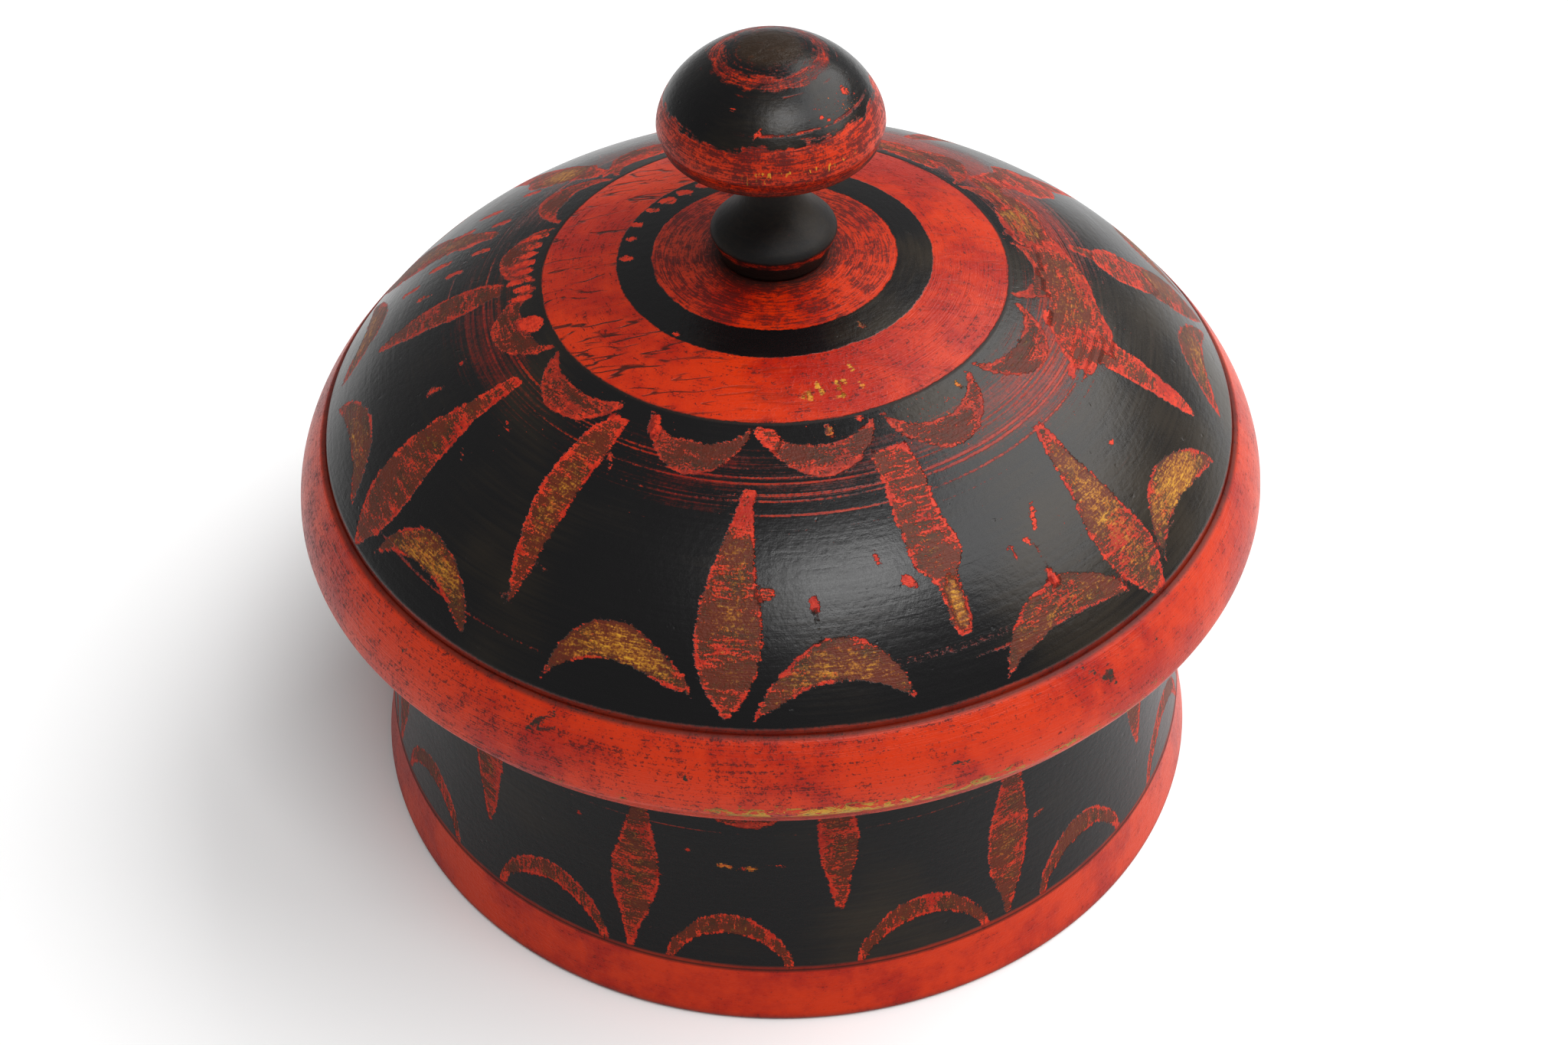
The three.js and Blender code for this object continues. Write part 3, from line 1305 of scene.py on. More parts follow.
@dataclass(frozen=True)
class LidLac(ScrapedLac):
    """The lid's shell: red disc, black ring, red ring, black dome and red rim.

    Attributes:
        disc: radius of the red disc round the knob.
        ring_inner: radius where the red ring starts.
        ring_outer: radius where the black dome starts.
        groove: radius and height of the groove between dome and rim.
        line_radii: (radius, half-width, strength, bearing, half of the span in degrees) of the
            lathe lines on the dome.
    """

    disc: float = 21.6
    ring_inner: float = 27.9
    ring_outer: float = 41.3
    groove: Point = (84.0, 81.1)
    line_radii: tuple[tuple[float, float, float, float, float], ...] = (
        (47.6, 0.25, 0.7, 225, 40), (48.7, 0.30, 1.0, 232, 32), (49.5, 0.25, 0.7, 0, 180),
        (51.0, 0.25, 0.9, 0, 180), (52.0, 0.25, 0.95, 0, 180), (53.9, 0.35, 1.15, 299, 48),
        (54.8, 0.35, 1.05, 290, 55), (57.0, 0.30, 1.1, 298, 36), (59.3, 0.20, 0.75, 0, 180),
        (79.6, 0.35, 0.85, 227, 17), (77.8, 0.55, 0.95, 294, 13), (79.5, 0.40, 1.1, 311, 18),
    )

    def rim(self, layers: Coated) -> Socket:
        """Mask the rim below the groove."""
        return layers.bench.fall(layers.height, self.groove[1] - 1.1, self.groove[1] + 0.4)

    def black_cover(self, layers: Coated) -> Socket:
        """Lay black on the ring round the disc and on the dome.

        Args:
            layers: the surface's layers.

        Returns:
            The mask of the black coat.
        """
        bench = layers.bench
        wander = bench.total((bench.noise(layers.turning, (5.0, 5.0, 0.3), 3), 0.22),
                             (bench.noise(layers.place, 1.6, 2), 0.12))
        radius = bench.total(layers.radius, wander)
        ring = bench.band(radius, self.disc, self.ring_inner, 0.14)
        dome = bench.step(radius, self.ring_outer - 0.12, self.ring_outer + 0.12)
        above = bench.step(bench.total(layers.height, (wander, 0.8)), self.groove[1] + 0.2,
                           self.groove[1] + 0.9)
        return bench.times(bench.most(ring, dome), above)

    def lathe_lines(self, layers: Coated) -> Socket:
        """Draw speckled lines round the dome, stronger on some sides.

        Args:
            layers: the surface's layers.

        Returns:
            The mask of the lines.
        """
        bench = layers.bench
        speckle = bench.noise(layers.place, 1.6, 3, 0.65)
        reach = bench.noise(layers.turning, (1.3, 1.3, 0.45), 2)
        hair = bench.noise(layers.turning, (1.2, 1.2, 3.2), 3, 0.6)
        found: Socket | None = None
        for radius, half, strength, bearing, span in self.line_radii:
            gap = bench.gap(layers.radius, radius)
            near = bench.fall(gap, half * 0.3, half * 1.5)
            near = bench.times(near, strength)
            if span < 180:
                near = bench.times(near, layers.bearing_mask(bearing, span))
            found = near if found is None else bench.most(found, near)
        live = bench.total((found, 1.38), (speckle, 0.55), (reach, 0.75), (hair, 0.35), -1.2)
        live = bench.times(bench.step(live, 0.0, 0.6), bench.step(found, 0.05, 0.3))
        return bench.times(live, 0.8)

    def mottling(self, layers: Coated) -> Value:
        """Keep the red disc and ring smoother than the rim.

        Args:
            layers: the surface's layers.

        Returns:
            How mottled the red is.
        """
        bench = layers.bench
        top = bench.fall(layers.radius, 44.0, 48.0)
        disc = bench.fall(layers.radius, 22.0, 25.0)
        return bench.less(self.leather, bench.total((top, 0.05), (disc, 0.45)))

    def haze(self, layers: Coated) -> Value:
        """Thin the black outside the scallops, in fine lines, and more at the back right.

        Args:
            layers: the surface's layers.

        Returns:
            The mask of the thin places.
        """
        bench = layers.bench
        hair = bench.noise(layers.turning, (1.4, 1.4, 2.4), 4, 0.7)
        cloud = bench.noise(layers.place, 0.06, 3, 0.6)
        speckle = bench.noise(layers.place, 1.8, 2, 0.6)
        zone = bench.band(layers.radius, 44.0, 58.0, 5.0)
        low = bench.band(layers.radius, 75.5, 81.0, 1.5)
        back = bench.times(bench.band(layers.radius, 42.0, 70.0, 6.0),
                           layers.bearing_mask(20, 62))
        left = bench.times(bench.band(layers.radius, 44.0, 72.0, 8.0),
                           layers.bearing_mask(150, 60))
        amount = bench.total((zone, 0.92), (low, 0.35), (back, 0.45), (left, 0.15), (hair, 0.62),
                             (cloud, 0.40), (speckle, 0.22), -0.85)
        return bench.times(bench.step(amount, 0.0, 1.1), bench.total(0.5, (back, 0.25)))

    def warmth(self, layers: Coated) -> Value:
        """Brown the dome at the right."""
        return layers.bench.times(layers.bearing_mask(332, 38), 0.9)

    def age_and_shading(self, layers: Coated) -> Value:
        """Darken the red with painted shade on the disc under the knob's head, round the stem, on the
        disc's left and on the rim under the groove at the front left, and lighten the rim at the right
        as a painted highlight.

        Args:
            layers: the surface's layers.

        Returns:
            How dark the red is.
        """
        bench = layers.bench
        # painted shade: the disc under the knob's head, the lid round the stem and the disc's left
        # side
        disc = bench.times(bench.fall(layers.radius, self.disc - 1, self.disc + 1),
                           bench.total(0.42, (layers.bearing_mask(10, 70), 0.12)))
        stem = bench.times(bench.fall(layers.radius, 10.0, 15.0), 0.3)
        left = bench.times(layers.bearing_mask(150, 110), bench.fall(layers.radius, 20, 24), 0.22)
        rim = self.rim(layers)
        # painted shade on the rim at the front left, and a painted highlight that makes the rim less
        # dark at the right
        front = bench.times(rim, layers.bearing_mask(238, 60), 0.22)
        bright = bench.times(rim, layers.bearing_mask(330, 50), -0.12)
        return bench.total(self.age, disc, stem, left, front, bright)

    def grime_and_shade(self, layers: Coated) -> Socket:
        """Paint shade in the groove and round the knob's stem, and gather dirt at the ring's edge and
        in pits.

        Args:
            layers: the surface's layers.

        Returns:
            The mask of the dirt and the painted shade.
        """
        bench = layers.bench
        # painted shade in the groove between the dome and the rim
        out = bench.less(layers.radius, self.groove[0])
        up = bench.less(layers.height, self.groove[1])
        gap = bench.maths("SQRT", bench.total((out, out), (up, up)))
        groove = bench.times(bench.fall(gap, 0.35, 1.25), 0.75)
        edge = bench.fall(bench.gap(layers.radius, self.ring_outer + 0.2), 0.1, 0.45)
        # painted shade on the lid round the foot of the knob's stem
        stem = bench.times(bench.fall(layers.radius, 9.8, 12.5), 0.75)
        rim = self.rim(layers)
        ring = bench.band(layers.radius, 9.0, self.ring_outer, 0.5)
        amount = bench.total(0.10, (rim, 0.95), (ring, 0.85))
        pits = layers.pits(amount)
        return bench.most(groove, bench.times(edge, 0.7), stem, bench.times(pits, 0.85))

    def extra(self, layers: Coated, colour: Socket, height: Socket) -> tuple[Socket, Socket]:
        """Open cracks along the grain, and wear the rim's widest line through to yellow.

        Args:
            layers: the surface's layers.
            colour: the colour so far.
            height: the relief so far.

        Returns:
            The new colour and relief.
        """
        bench = layers.bench
        side = bench.total(0.3, layers.bearing_mask(180, 70))
        ring = bench.band(layers.radius, self.ring_inner, self.ring_outer, 0.3)
        cracks = bench.place(grain_group(), Place=layers.place,
                             Amount=bench.times(ring, side, 0.9))["Mask"]
        colour = bench.blend(colour, Lac.DIRT_AND_SHADE, bench.times(cracks, 0.75))
        height = bench.less(height, bench.times(cracks, 0.09))
        crumbs = bench.noise(layers.place, (0.36, 0.36, 0.9), 4, 0.7, 0.5)
        drift = bench.noise(layers.turning, (2.2, 2.2, 0.1), 2)
        arris = bench.fall(bench.gap(layers.height, 68.2), 0.8, 4.2)
        front = bench.total(0.55, (layers.bearing_mask(282, 42), 0.45))
        worn = bench.step(bench.total((arris, front, 1.45), (crumbs, 1.7), (drift, 0.85), -1.9),
                          0.0, 0.4)
        worn = bench.times(worn, bench.step(arris, 0.0, 0.3))
        colour = bench.blend(colour, bench.blend(Lac.YELLOW, Lac.DIRT_AND_SHADE,
                                                 bench.step(crumbs, -0.2, 1.0)), worn)
        height = bench.less(height, bench.times(worn, 0.06))
        return colour, height


@dataclass(frozen=True)
class BowlLac(ScrapedLac):
    """The bowl's shell: black wall over a red base band.

    Attributes:
        band_top: height of the red band's upper edge.
        line_heights: (height, half-width, strength) of the lathe lines.
    """

    band_top: float = 12.3
    line_heights: tuple[tuple[float, float, float], ...] = (
        (45.4, 0.2, 0.75), (42.2, 0.3, 0.35), (58.0, 0.3, 0.6), (28.5, 0.15, 0.25),
    )

    def black_cover(self, layers: Coated) -> Socket:
        """Lay black on the wall above the band.

        Args:
            layers: the surface's layers.

        Returns:
            The mask of the black coat.
        """
        bench = layers.bench
        wander = bench.times(bench.noise(layers.turning, (6.0, 6.0, 0.4), 3), 0.18)
        height = bench.total(layers.height, wander)
        return bench.step(height, self.band_top + 0.7, self.band_top + 1.3)

    def lathe_lines(self, layers: Coated) -> Socket:
        """Draw thin lines round the wall.

        Args:
            layers: the surface's layers.

        Returns:
            The mask of the lines.
        """
        bench = layers.bench
        speckle = bench.noise(layers.place, 1.3, 3, 0.65)
        reach = bench.noise(layers.turning, (1.3, 1.3, 0.2), 2)
        found: Socket | None = None
        for height, half, strength in self.line_heights:
            gap = bench.gap(layers.height, height)
            near = bench.times(bench.fall(gap, half * 0.4, half * 1.6), strength)
            found = near if found is None else bench.most(found, near)
        live = bench.total((found, 1.6), (speckle, 0.4), (reach, 0.8), -1.25)
        return bench.times(bench.step(live, 0.0, 0.5), bench.step(found, 0.05, 0.3), 0.6)

    def grime_and_shade(self, layers: Coated) -> Socket:
        """Gather dirt at the band's upper edge and in pits, and paint shade on the foot where it meets
        the ground.

        Args:
            layers: the surface's layers.

        Returns:
            The mask of the dirt and the painted shade.
        """
        bench = layers.bench
        strip = bench.times(bench.band(layers.height, self.band_top - 0.3, self.band_top + 1.2, 0.2),
                            0.55)
        line = bench.times(bench.fall(bench.gap(layers.height, self.band_top + 0.25), 0.12, 0.4),
                           0.85)
        # painted shade on the foot's lower edge, where it meets the ground
        foot = bench.times(bench.fall(layers.height, 0.3, 2.2), 0.55)
        amount = bench.total(0.12, (bench.fall(layers.height, 11.5, 12.5), 0.18))
        pits = layers.pits(amount)
        return bench.most(strip, line, foot, bench.times(pits, 0.7))


@dataclass(frozen=True)
class KnobLac(ScrapedLac):
    """The knob: red under its belt, black belt, red ring and a crown worn to brown.

    Attributes:
        crown: run from the top at which the worn crown ends.
        ring: runs between which the broken red ring lies.
        belt_end: run at which the black belt ends.
        stem_ring: height of the worn ring on the stem's shoulder.
        neck: heights between which the stem gives way to the head.
        cap: heights above which the crown may lie.
    """

    crown: float = 5.6
    ring: Point = (5.8, 10.6)
    belt_end: float = 19.8
    stem_ring: float = 118.1
    neck: Point = (134.0, 136.0)
    cap: Point = (150.0, 152.0)

    def stem(self, layers: Coated) -> Socket:
        """Mask the stem."""
        return layers.bench.fall(layers.height, *self.neck)

    def black_cover(self, layers: Coated) -> Socket:
        """Lay black on the belt and the stem, worn into the red at the right.

        Args:
            layers: the surface's layers.

        Returns:
            The mask of the black coat.
        """
        bench = layers.bench
        fray = bench.noise(layers.turning, (4.0, 4.0, 1.3), 4, 0.65)
        clumps = bench.noise(layers.place, 0.42, 3, 0.6)
        left = layers.bearing_mask(205, 48)
        lower = bench.total(layers.run, (fray, 0.9), (left, -1.1), (clumps, 1.15))
        belt = bench.less(1.0, bench.step(lower, self.belt_end - 0.35, self.belt_end + 0.35))
        fine = bench.noise(layers.place, 1.7, 3, 0.65)
        threads = bench.noise(layers.turning, (2.2, 2.2, 2.0), 4, 0.7)
        mottle = bench.total((threads, 0.55), (fine, 0.35))
        drifted = bench.total(layers.run, (clumps, 0.7))
        inner = bench.band(drifted, self.ring[0] - 1.2, self.ring[1], 0.7)
        outer = bench.band(drifted, self.ring[0] + 2.0, self.ring[1], 0.5)
        open_ring = bench.step(bench.total((inner, 0.40), (outer, 0.5), mottle, -0.55), -0.15, 0.75)
        head = bench.times(belt, bench.rest(bench.times(open_ring, inner)))
        line = bench.fall(bench.gap(layers.run, 18.0), 0.1, 0.38)
        line = bench.times(line, bench.step(bench.total(fray, clumps), -0.3, 0.3),
                           layers.bearing_mask(300, 42))
        head = bench.times(head, bench.rest(line))
        on_stem = self.stem(layers)
        shoulder = bench.fall(bench.gap(bench.total(layers.height, (fray, 0.35)), self.stem_ring),
                              0.3, 1.4)
        shoulder = bench.step(bench.total(shoulder, (clumps, 0.4), (fray, 0.35)), 0.45, 1.3)
        return bench.lift(head, bench.rest(shoulder), on_stem)

    def lathe_lines(self, layers: Coated) -> Socket:
        """Draw one faint line under the ring.

        Args:
            layers: the surface's layers.

        Returns:
            The mask of the lines.
        """
        bench = layers.bench
        fray = bench.noise(layers.turning, (3.0, 3.0, 1.0), 3, 0.6)
        gap = bench.gap(layers.run, 11.8)
        near = bench.fall(gap, 0.05, 0.28)
        return bench.times(near, bench.step(fray, 0.15, 0.7), 0.6)

    def grime_and_shade(self, layers: Coated) -> Socket:
        """Brown the crown, gather dirt in pits, and paint shade at the stem's foot, on the neck and
        under the head.

        Args:
            layers: the surface's layers.

        Returns:
            The mask of the brown crown, the dirt and the painted shade.
        """
        bench = layers.bench
        mottle = bench.noise(layers.place, 0.55, 4, 0.65)
        crown = bench.fall(bench.total(layers.run, (mottle, 1.1)), self.crown - 1.0,
                           self.crown + 0.8)
        crown = bench.times(crown, bench.step(layers.height, *self.cap), 0.35)
        on_stem = self.stem(layers)
        # painted shade at the stem's foot, where it meets the lid
        foot = bench.times(bench.fall(layers.height, 115.2, 117.6), 0.8)
        # painted shade under the head's lower edge
        under = bench.times(bench.fall(bench.gap(layers.height, 138.6), 0.3, 1.1), 0.6)
        foot = bench.most(foot, under)
        # painted shade on the neck, under the head
        neck = bench.times(on_stem, bench.step(layers.height, 126.0, 133.0), 0.5)
        pits = layers.pits(0.5)
        return bench.most(crown, foot, neck, bench.times(pits, 0.8))

    def warmth(self, layers: Coated) -> Value:
        """Brown the stem, and the belt at the right.

        Args:
            layers: the surface's layers.

        Returns:
            How brown the black is.
        """
        bench = layers.bench
        on_stem = self.stem(layers)
        right = bench.times(layers.bearing_mask(328, 24), 0.7)
        return bench.most(bench.times(on_stem, 0.55), right)

    def dullness(self, layers: Coated) -> Value:
        """Take the gloss off the stem."""
        bench = layers.bench
        return bench.times(self.stem(layers), 0.7)

    def extra(self, layers: Coated, colour: Socket, height: Socket) -> tuple[Socket, Socket]:
        """Tick yellow through the red along the head's lower edge, and pit the crown.

        Args:
            layers: the surface's layers.
            colour: the colour so far.
            height: the relief so far.

        Returns:
            The new colour and relief.
        """
        bench = layers.bench
        ticks = bench.noise(layers.turning, (34.0, 34.0, 0.6), 2, 0.6)
        rows = bench.noise(layers.turning, (1.5, 1.5, 0.9), 1)
        low = bench.band(layers.run, 23.8, 26.6, 0.25)
        worn = bench.times(bench.step(bench.total(ticks, (rows, 0.6)), 0.5, 0.9), low, 0.65,
                           layers.bearing_mask(286, 26))
        colour = bench.blend(colour, Lac.YELLOW, worn)
        crown = bench.fall(layers.run, self.crown - 1.5, self.crown + 1.0)
        crown = bench.times(crown, bench.step(layers.height, *self.cap))
        rubbed = bench.noise(layers.place, (0.5, 0.9, 0.5), 4, 0.7, 0.6)
        height = bench.total(height, (crown, rubbed, 0.10))
        colour = bench.blend(colour, Lac.UMBER, bench.times(crown, 0.55))
        pale = bench.times(crown, bench.step(rubbed, 0.35, 1.2), 0.6)
        return bench.blend(colour, Lac.DARK_WOOD, pale), height


@dataclass(frozen=True)
class InsideLac:
    """A thin red-brown coat inside, with the turning marks showing through.

    Attributes:
        name: the material's name.
    """

    name: str

    def make(self) -> bpy.types.Material:
        """Lay out the material.

        Returns:
            The material.
        """
        material, layers = Coated.start(self.name)
        bench = layers.bench
        rings = bench.noise(layers.turning, (2.0, 2.0, 1.2), 3, 0.6)
        fine = bench.noise(layers.turning, (6.0, 6.0, 4.0), 2, 0.6)
        fibre = bench.noise(layers.place, (0.12, 1.4, 1.4), 3, 0.6)
        rub = bench.noise(layers.place, 0.09, 4, 0.6)
        colour = bench.blend(Lac.OXBLOOD, Lac.RUST,
                             bench.step(bench.total(rings, (rub, 0.6)), -0.9, 1.3))
        colour = bench.blend(colour, Lac.DARK_WOOD,
                             bench.step(bench.total(rub, (fibre, 0.5), (fine, 0.3)), 0.7, 1.3))
        pits = layers.pits(0.3)
        colour = bench.blend(colour, Lac.DIRT_AND_SHADE, bench.times(pits, 0.8))
        rough = bench.total(0.5, (rub, 0.06), (fine, 0.04))
        height = bench.total((rings, 0.03), (fine, 0.014), (fibre, 0.012))
        layers.close(material, colour, rough, height, 0.4)
        return material


@dataclass(frozen=True)
class BareWood:
    """Turned wood without a coat, its grain along X, greyed and dirty from use.

    Attributes:
        name: the material's name.
    """

    name: str

    def make(self) -> bpy.types.Material:
        """Lay out the material.

        Returns:
            The material.
        """
        material, layers = Coated.start(self.name)
        bench = layers.bench
        fibre = bench.noise(layers.place, (0.10, 2.2, 2.2), 4, 0.65)
        growth = bench.noise(layers.place, (0.012, 0.16, 0.16), 3, 0.5, 0.4)
        rings = bench.noise(layers.turning, (1.5, 1.5, 2.4), 2, 0.6)
        colour = bench.blend(Lac.WOOD, Lac.DARK_WOOD,
                             bench.step(bench.total(growth, (fibre, 0.6), (rings, 0.2)), -0.8, 1.2))
        stain = bench.noise(layers.place, 0.05, 3)
        colour = bench.blend(colour, Lac.UMBER, bench.step(stain, 0.1, 1.4))
        rough = bench.total(0.66, (fibre, 0.05))
        height = bench.total((fibre, 0.03), (rings, 0.03))
        layers.close(material, colour, rough, height, 0.3)
        return material


# --- Pieces ---------------------------------------------------------------------------------

DEEP = Tone(ochre=0.5, glow=0.3)
SMOKY = Tone(ochre=0.2, glow=0.8, smoke=0.32)
BRIGHT = Tone(ochre=0.1, glow=1.2)
GOLD = Tone(ochre=1.6, glow=0.2)
WORN = Tone(ochre=0.45, glow=0.75)
CUT = Tone(ochre=0.0, glow=-0.4, smoke=1.0)


def dress(piece: bpy.types.Object, finishes: list[ScrapedLac | InsideLac | BareWood]) -> None:
    """Give a piece its materials, in the order of Coat."""
    for finish in finishes:
        piece.data.materials.append(finish.make())


@dataclass
class Bowl:
    """The body: waisted wall, red base band, foot ring, shoulder and lip.

    Attributes:
        foot_radius: outer radius of the foot.
        recess_radius: radius of the hollow underneath.
        shoulder: radius and height of the shoulder's outer edge.
        lip_radius: outer radius of the lip.
        lip_height: height of the lip.
        bore_radius: radius of the inside.
        floor: height of the floor.
        corner: size of the rounding between floor and wall.
        first_standing: bearing of the first standing petal.
        first_hanging: bearing of the first hanging petal.
    """

    foot_radius: float = 83.0
    recess_radius: float = 61.5
    shoulder: Point = (74.3, 64.0)
    lip_radius: float = 70.0
    lip_height: float = 71.0
    bore_radius: float = 66.0
    floor: float = 12.0
    corner: float = 15.0
    first_standing: float = 249.0
    first_hanging: float = 276.3

    def section(self) -> Outline:
        """Draw the bowl's half-section, from the axis underneath to the axis of its floor.

        Returns:
            The section.
        """
        foot, (r, z), lip = self.foot_radius, self.shoulder, self.lip_radius
        bore, top = self.bore_radius, self.lip_height
        outline = Outline([(0.0, 1.0)], Coat.BARE, 6.0)
        outline.line(self.recess_radius - 1, 1.0).round((self.recess_radius - 0.5, 1.0),
                                                        (self.recess_radius, 0.0))
        outline.line(foot - 1.2, 0.0)
        outline.wearing(Coat.SHELL, 0.7).round((foot, 0.0), (foot, 1.2))
        outline.round((76.0, 33.0), (r, z - 0.7)).round((r, z), (r - 0.7, z))
        outline.wearing(Coat.INSIDE, 0.8).line(lip, z).line(lip, top - 0.9)
        outline.round((lip, top), (lip - 0.9, top)).line(bore + 0.9, top)
        outline.round((bore, top), (bore, top - 0.9))
        outline.wearing(Coat.INSIDE, 3.0).line(bore, self.floor + self.corner)
        outline.round((bore, self.floor), (bore - self.corner, self.floor))
        outline.line(0.0, self.floor - 0.6)
        return outline

    def marks(self) -> list[Mark]:
        """List what is scraped and chipped on the wall.

        Returns:
            The marks, named by height.
        """
        seventh = 360 / 7
        made: list[Mark] = []
        spread = ((0, 1.2), (0.14, 3.4), (0.28, 7.0), (0.42, 8.8), (0.56, 8.6), (0.7, 6.4),
                  (0.84, 4.2), (1, 1.2))
        drip = ((0, 3.0), (0.2, 6.4), (0.4, 7.4), (0.58, 6.6), (0.74, 4.6), (0.9, 2.6), (1, 0.6))
        for k in range(7):
            stand = (self.first_standing + k * seventh) % 360
            hang = (self.first_hanging + k * seventh) % 360
            made.append(Petal((stand - 0.6, 13.3), (stand + 1.1, 52.0), spread, tone=Tone(0.42, 0.5)))
            made.append(Petal((hang, 58.0), (hang + 0.2, 26.4), drip, tone=Tone(0.36, 0.5)))
            for low, high, crest in ((4.3, 21.4, 25.8), (29.4, 48.0, 26.0)):
                made.append(Crescent(
                    ((stand + low, 13.4), (stand + high, 12.6)), crest, crest - 4.8, full=0.58,
                    hollow=0.62, foot_width=1.6, tone=Tone(0.34, 0.45), ribs=Ribs.UPRIGHT))
            for low, high, top in ((6.0, 25.0, 47.2), (31.0, 48.0, 49.6)):
                made.append(Crescent(((stand + low, 57.0), (stand + high, 57.0)), top, top + 3.6,
                                     full=0.7, hollow=0.6, tone=Tone(0.2, 0.5, 0.2)))
        made += [
            dash((260.4, 37.5), (262.6, 37.0), 0.9, GOLD),
            dash((263.8, 37.0), (266.0, 37.3), 0.9, GOLD),
            dash((263.4, 36.4), (263.9, 37.2), 0.6, BRIGHT),
            dash((266.4, 38.6), (269.8, 37.6), 0.45, BRIGHT),
            dash((256.2, 40.3), (256.7, 40.0), 0.8, BRIGHT),
            dash((240.6, 41.9), (241.2, 41.6), 0.8, BRIGHT),
            dash((304.8, 33.4), (306.8, 33.8), 0.9, Tone(0.1, 0.8, 0.3)),
            dash((252.2, 32.7), (253.4, 33.1), 0.7, BRIGHT),
            dash((272.4, 13.8), (273.2, 13.7), 0.6, GOLD),
        ]
        return made

    def build(self, lathe: Lathe) -> bpy.types.Object:
        """Turn the bowl, mark it and dress it.

        Args:
            lathe: the lathe to turn it on.

        Returns:
            The bowl.
        """
        piece, surface = lathe.turn("turned_bowl", self.section(), (self.foot_radius, 1.2))
        wall = (surface.radius > self.shoulder[0] - 1.0) & (surface.run >= -0.01)
        wall &= surface.height <= self.shoulder[1]
        Face(surface, surface.height, wall, seed=7).decorate(piece, self.marks(), [
            (250, 45, 40, 0.10), (305, 34, 14, 0.12), (120, 30, 30, 0.1),
        ])
        shell = BowlLac("bowl_lac", age=0.26, streaks=0.5, leather=0.55, chip_size=1.1, shine=0.22)
        dress(piece, [shell, InsideLac("bowl_inside"), BareWood("bowl_foot_wood")])
        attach(piece, "bowl")
        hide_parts("bowl")
        return piece


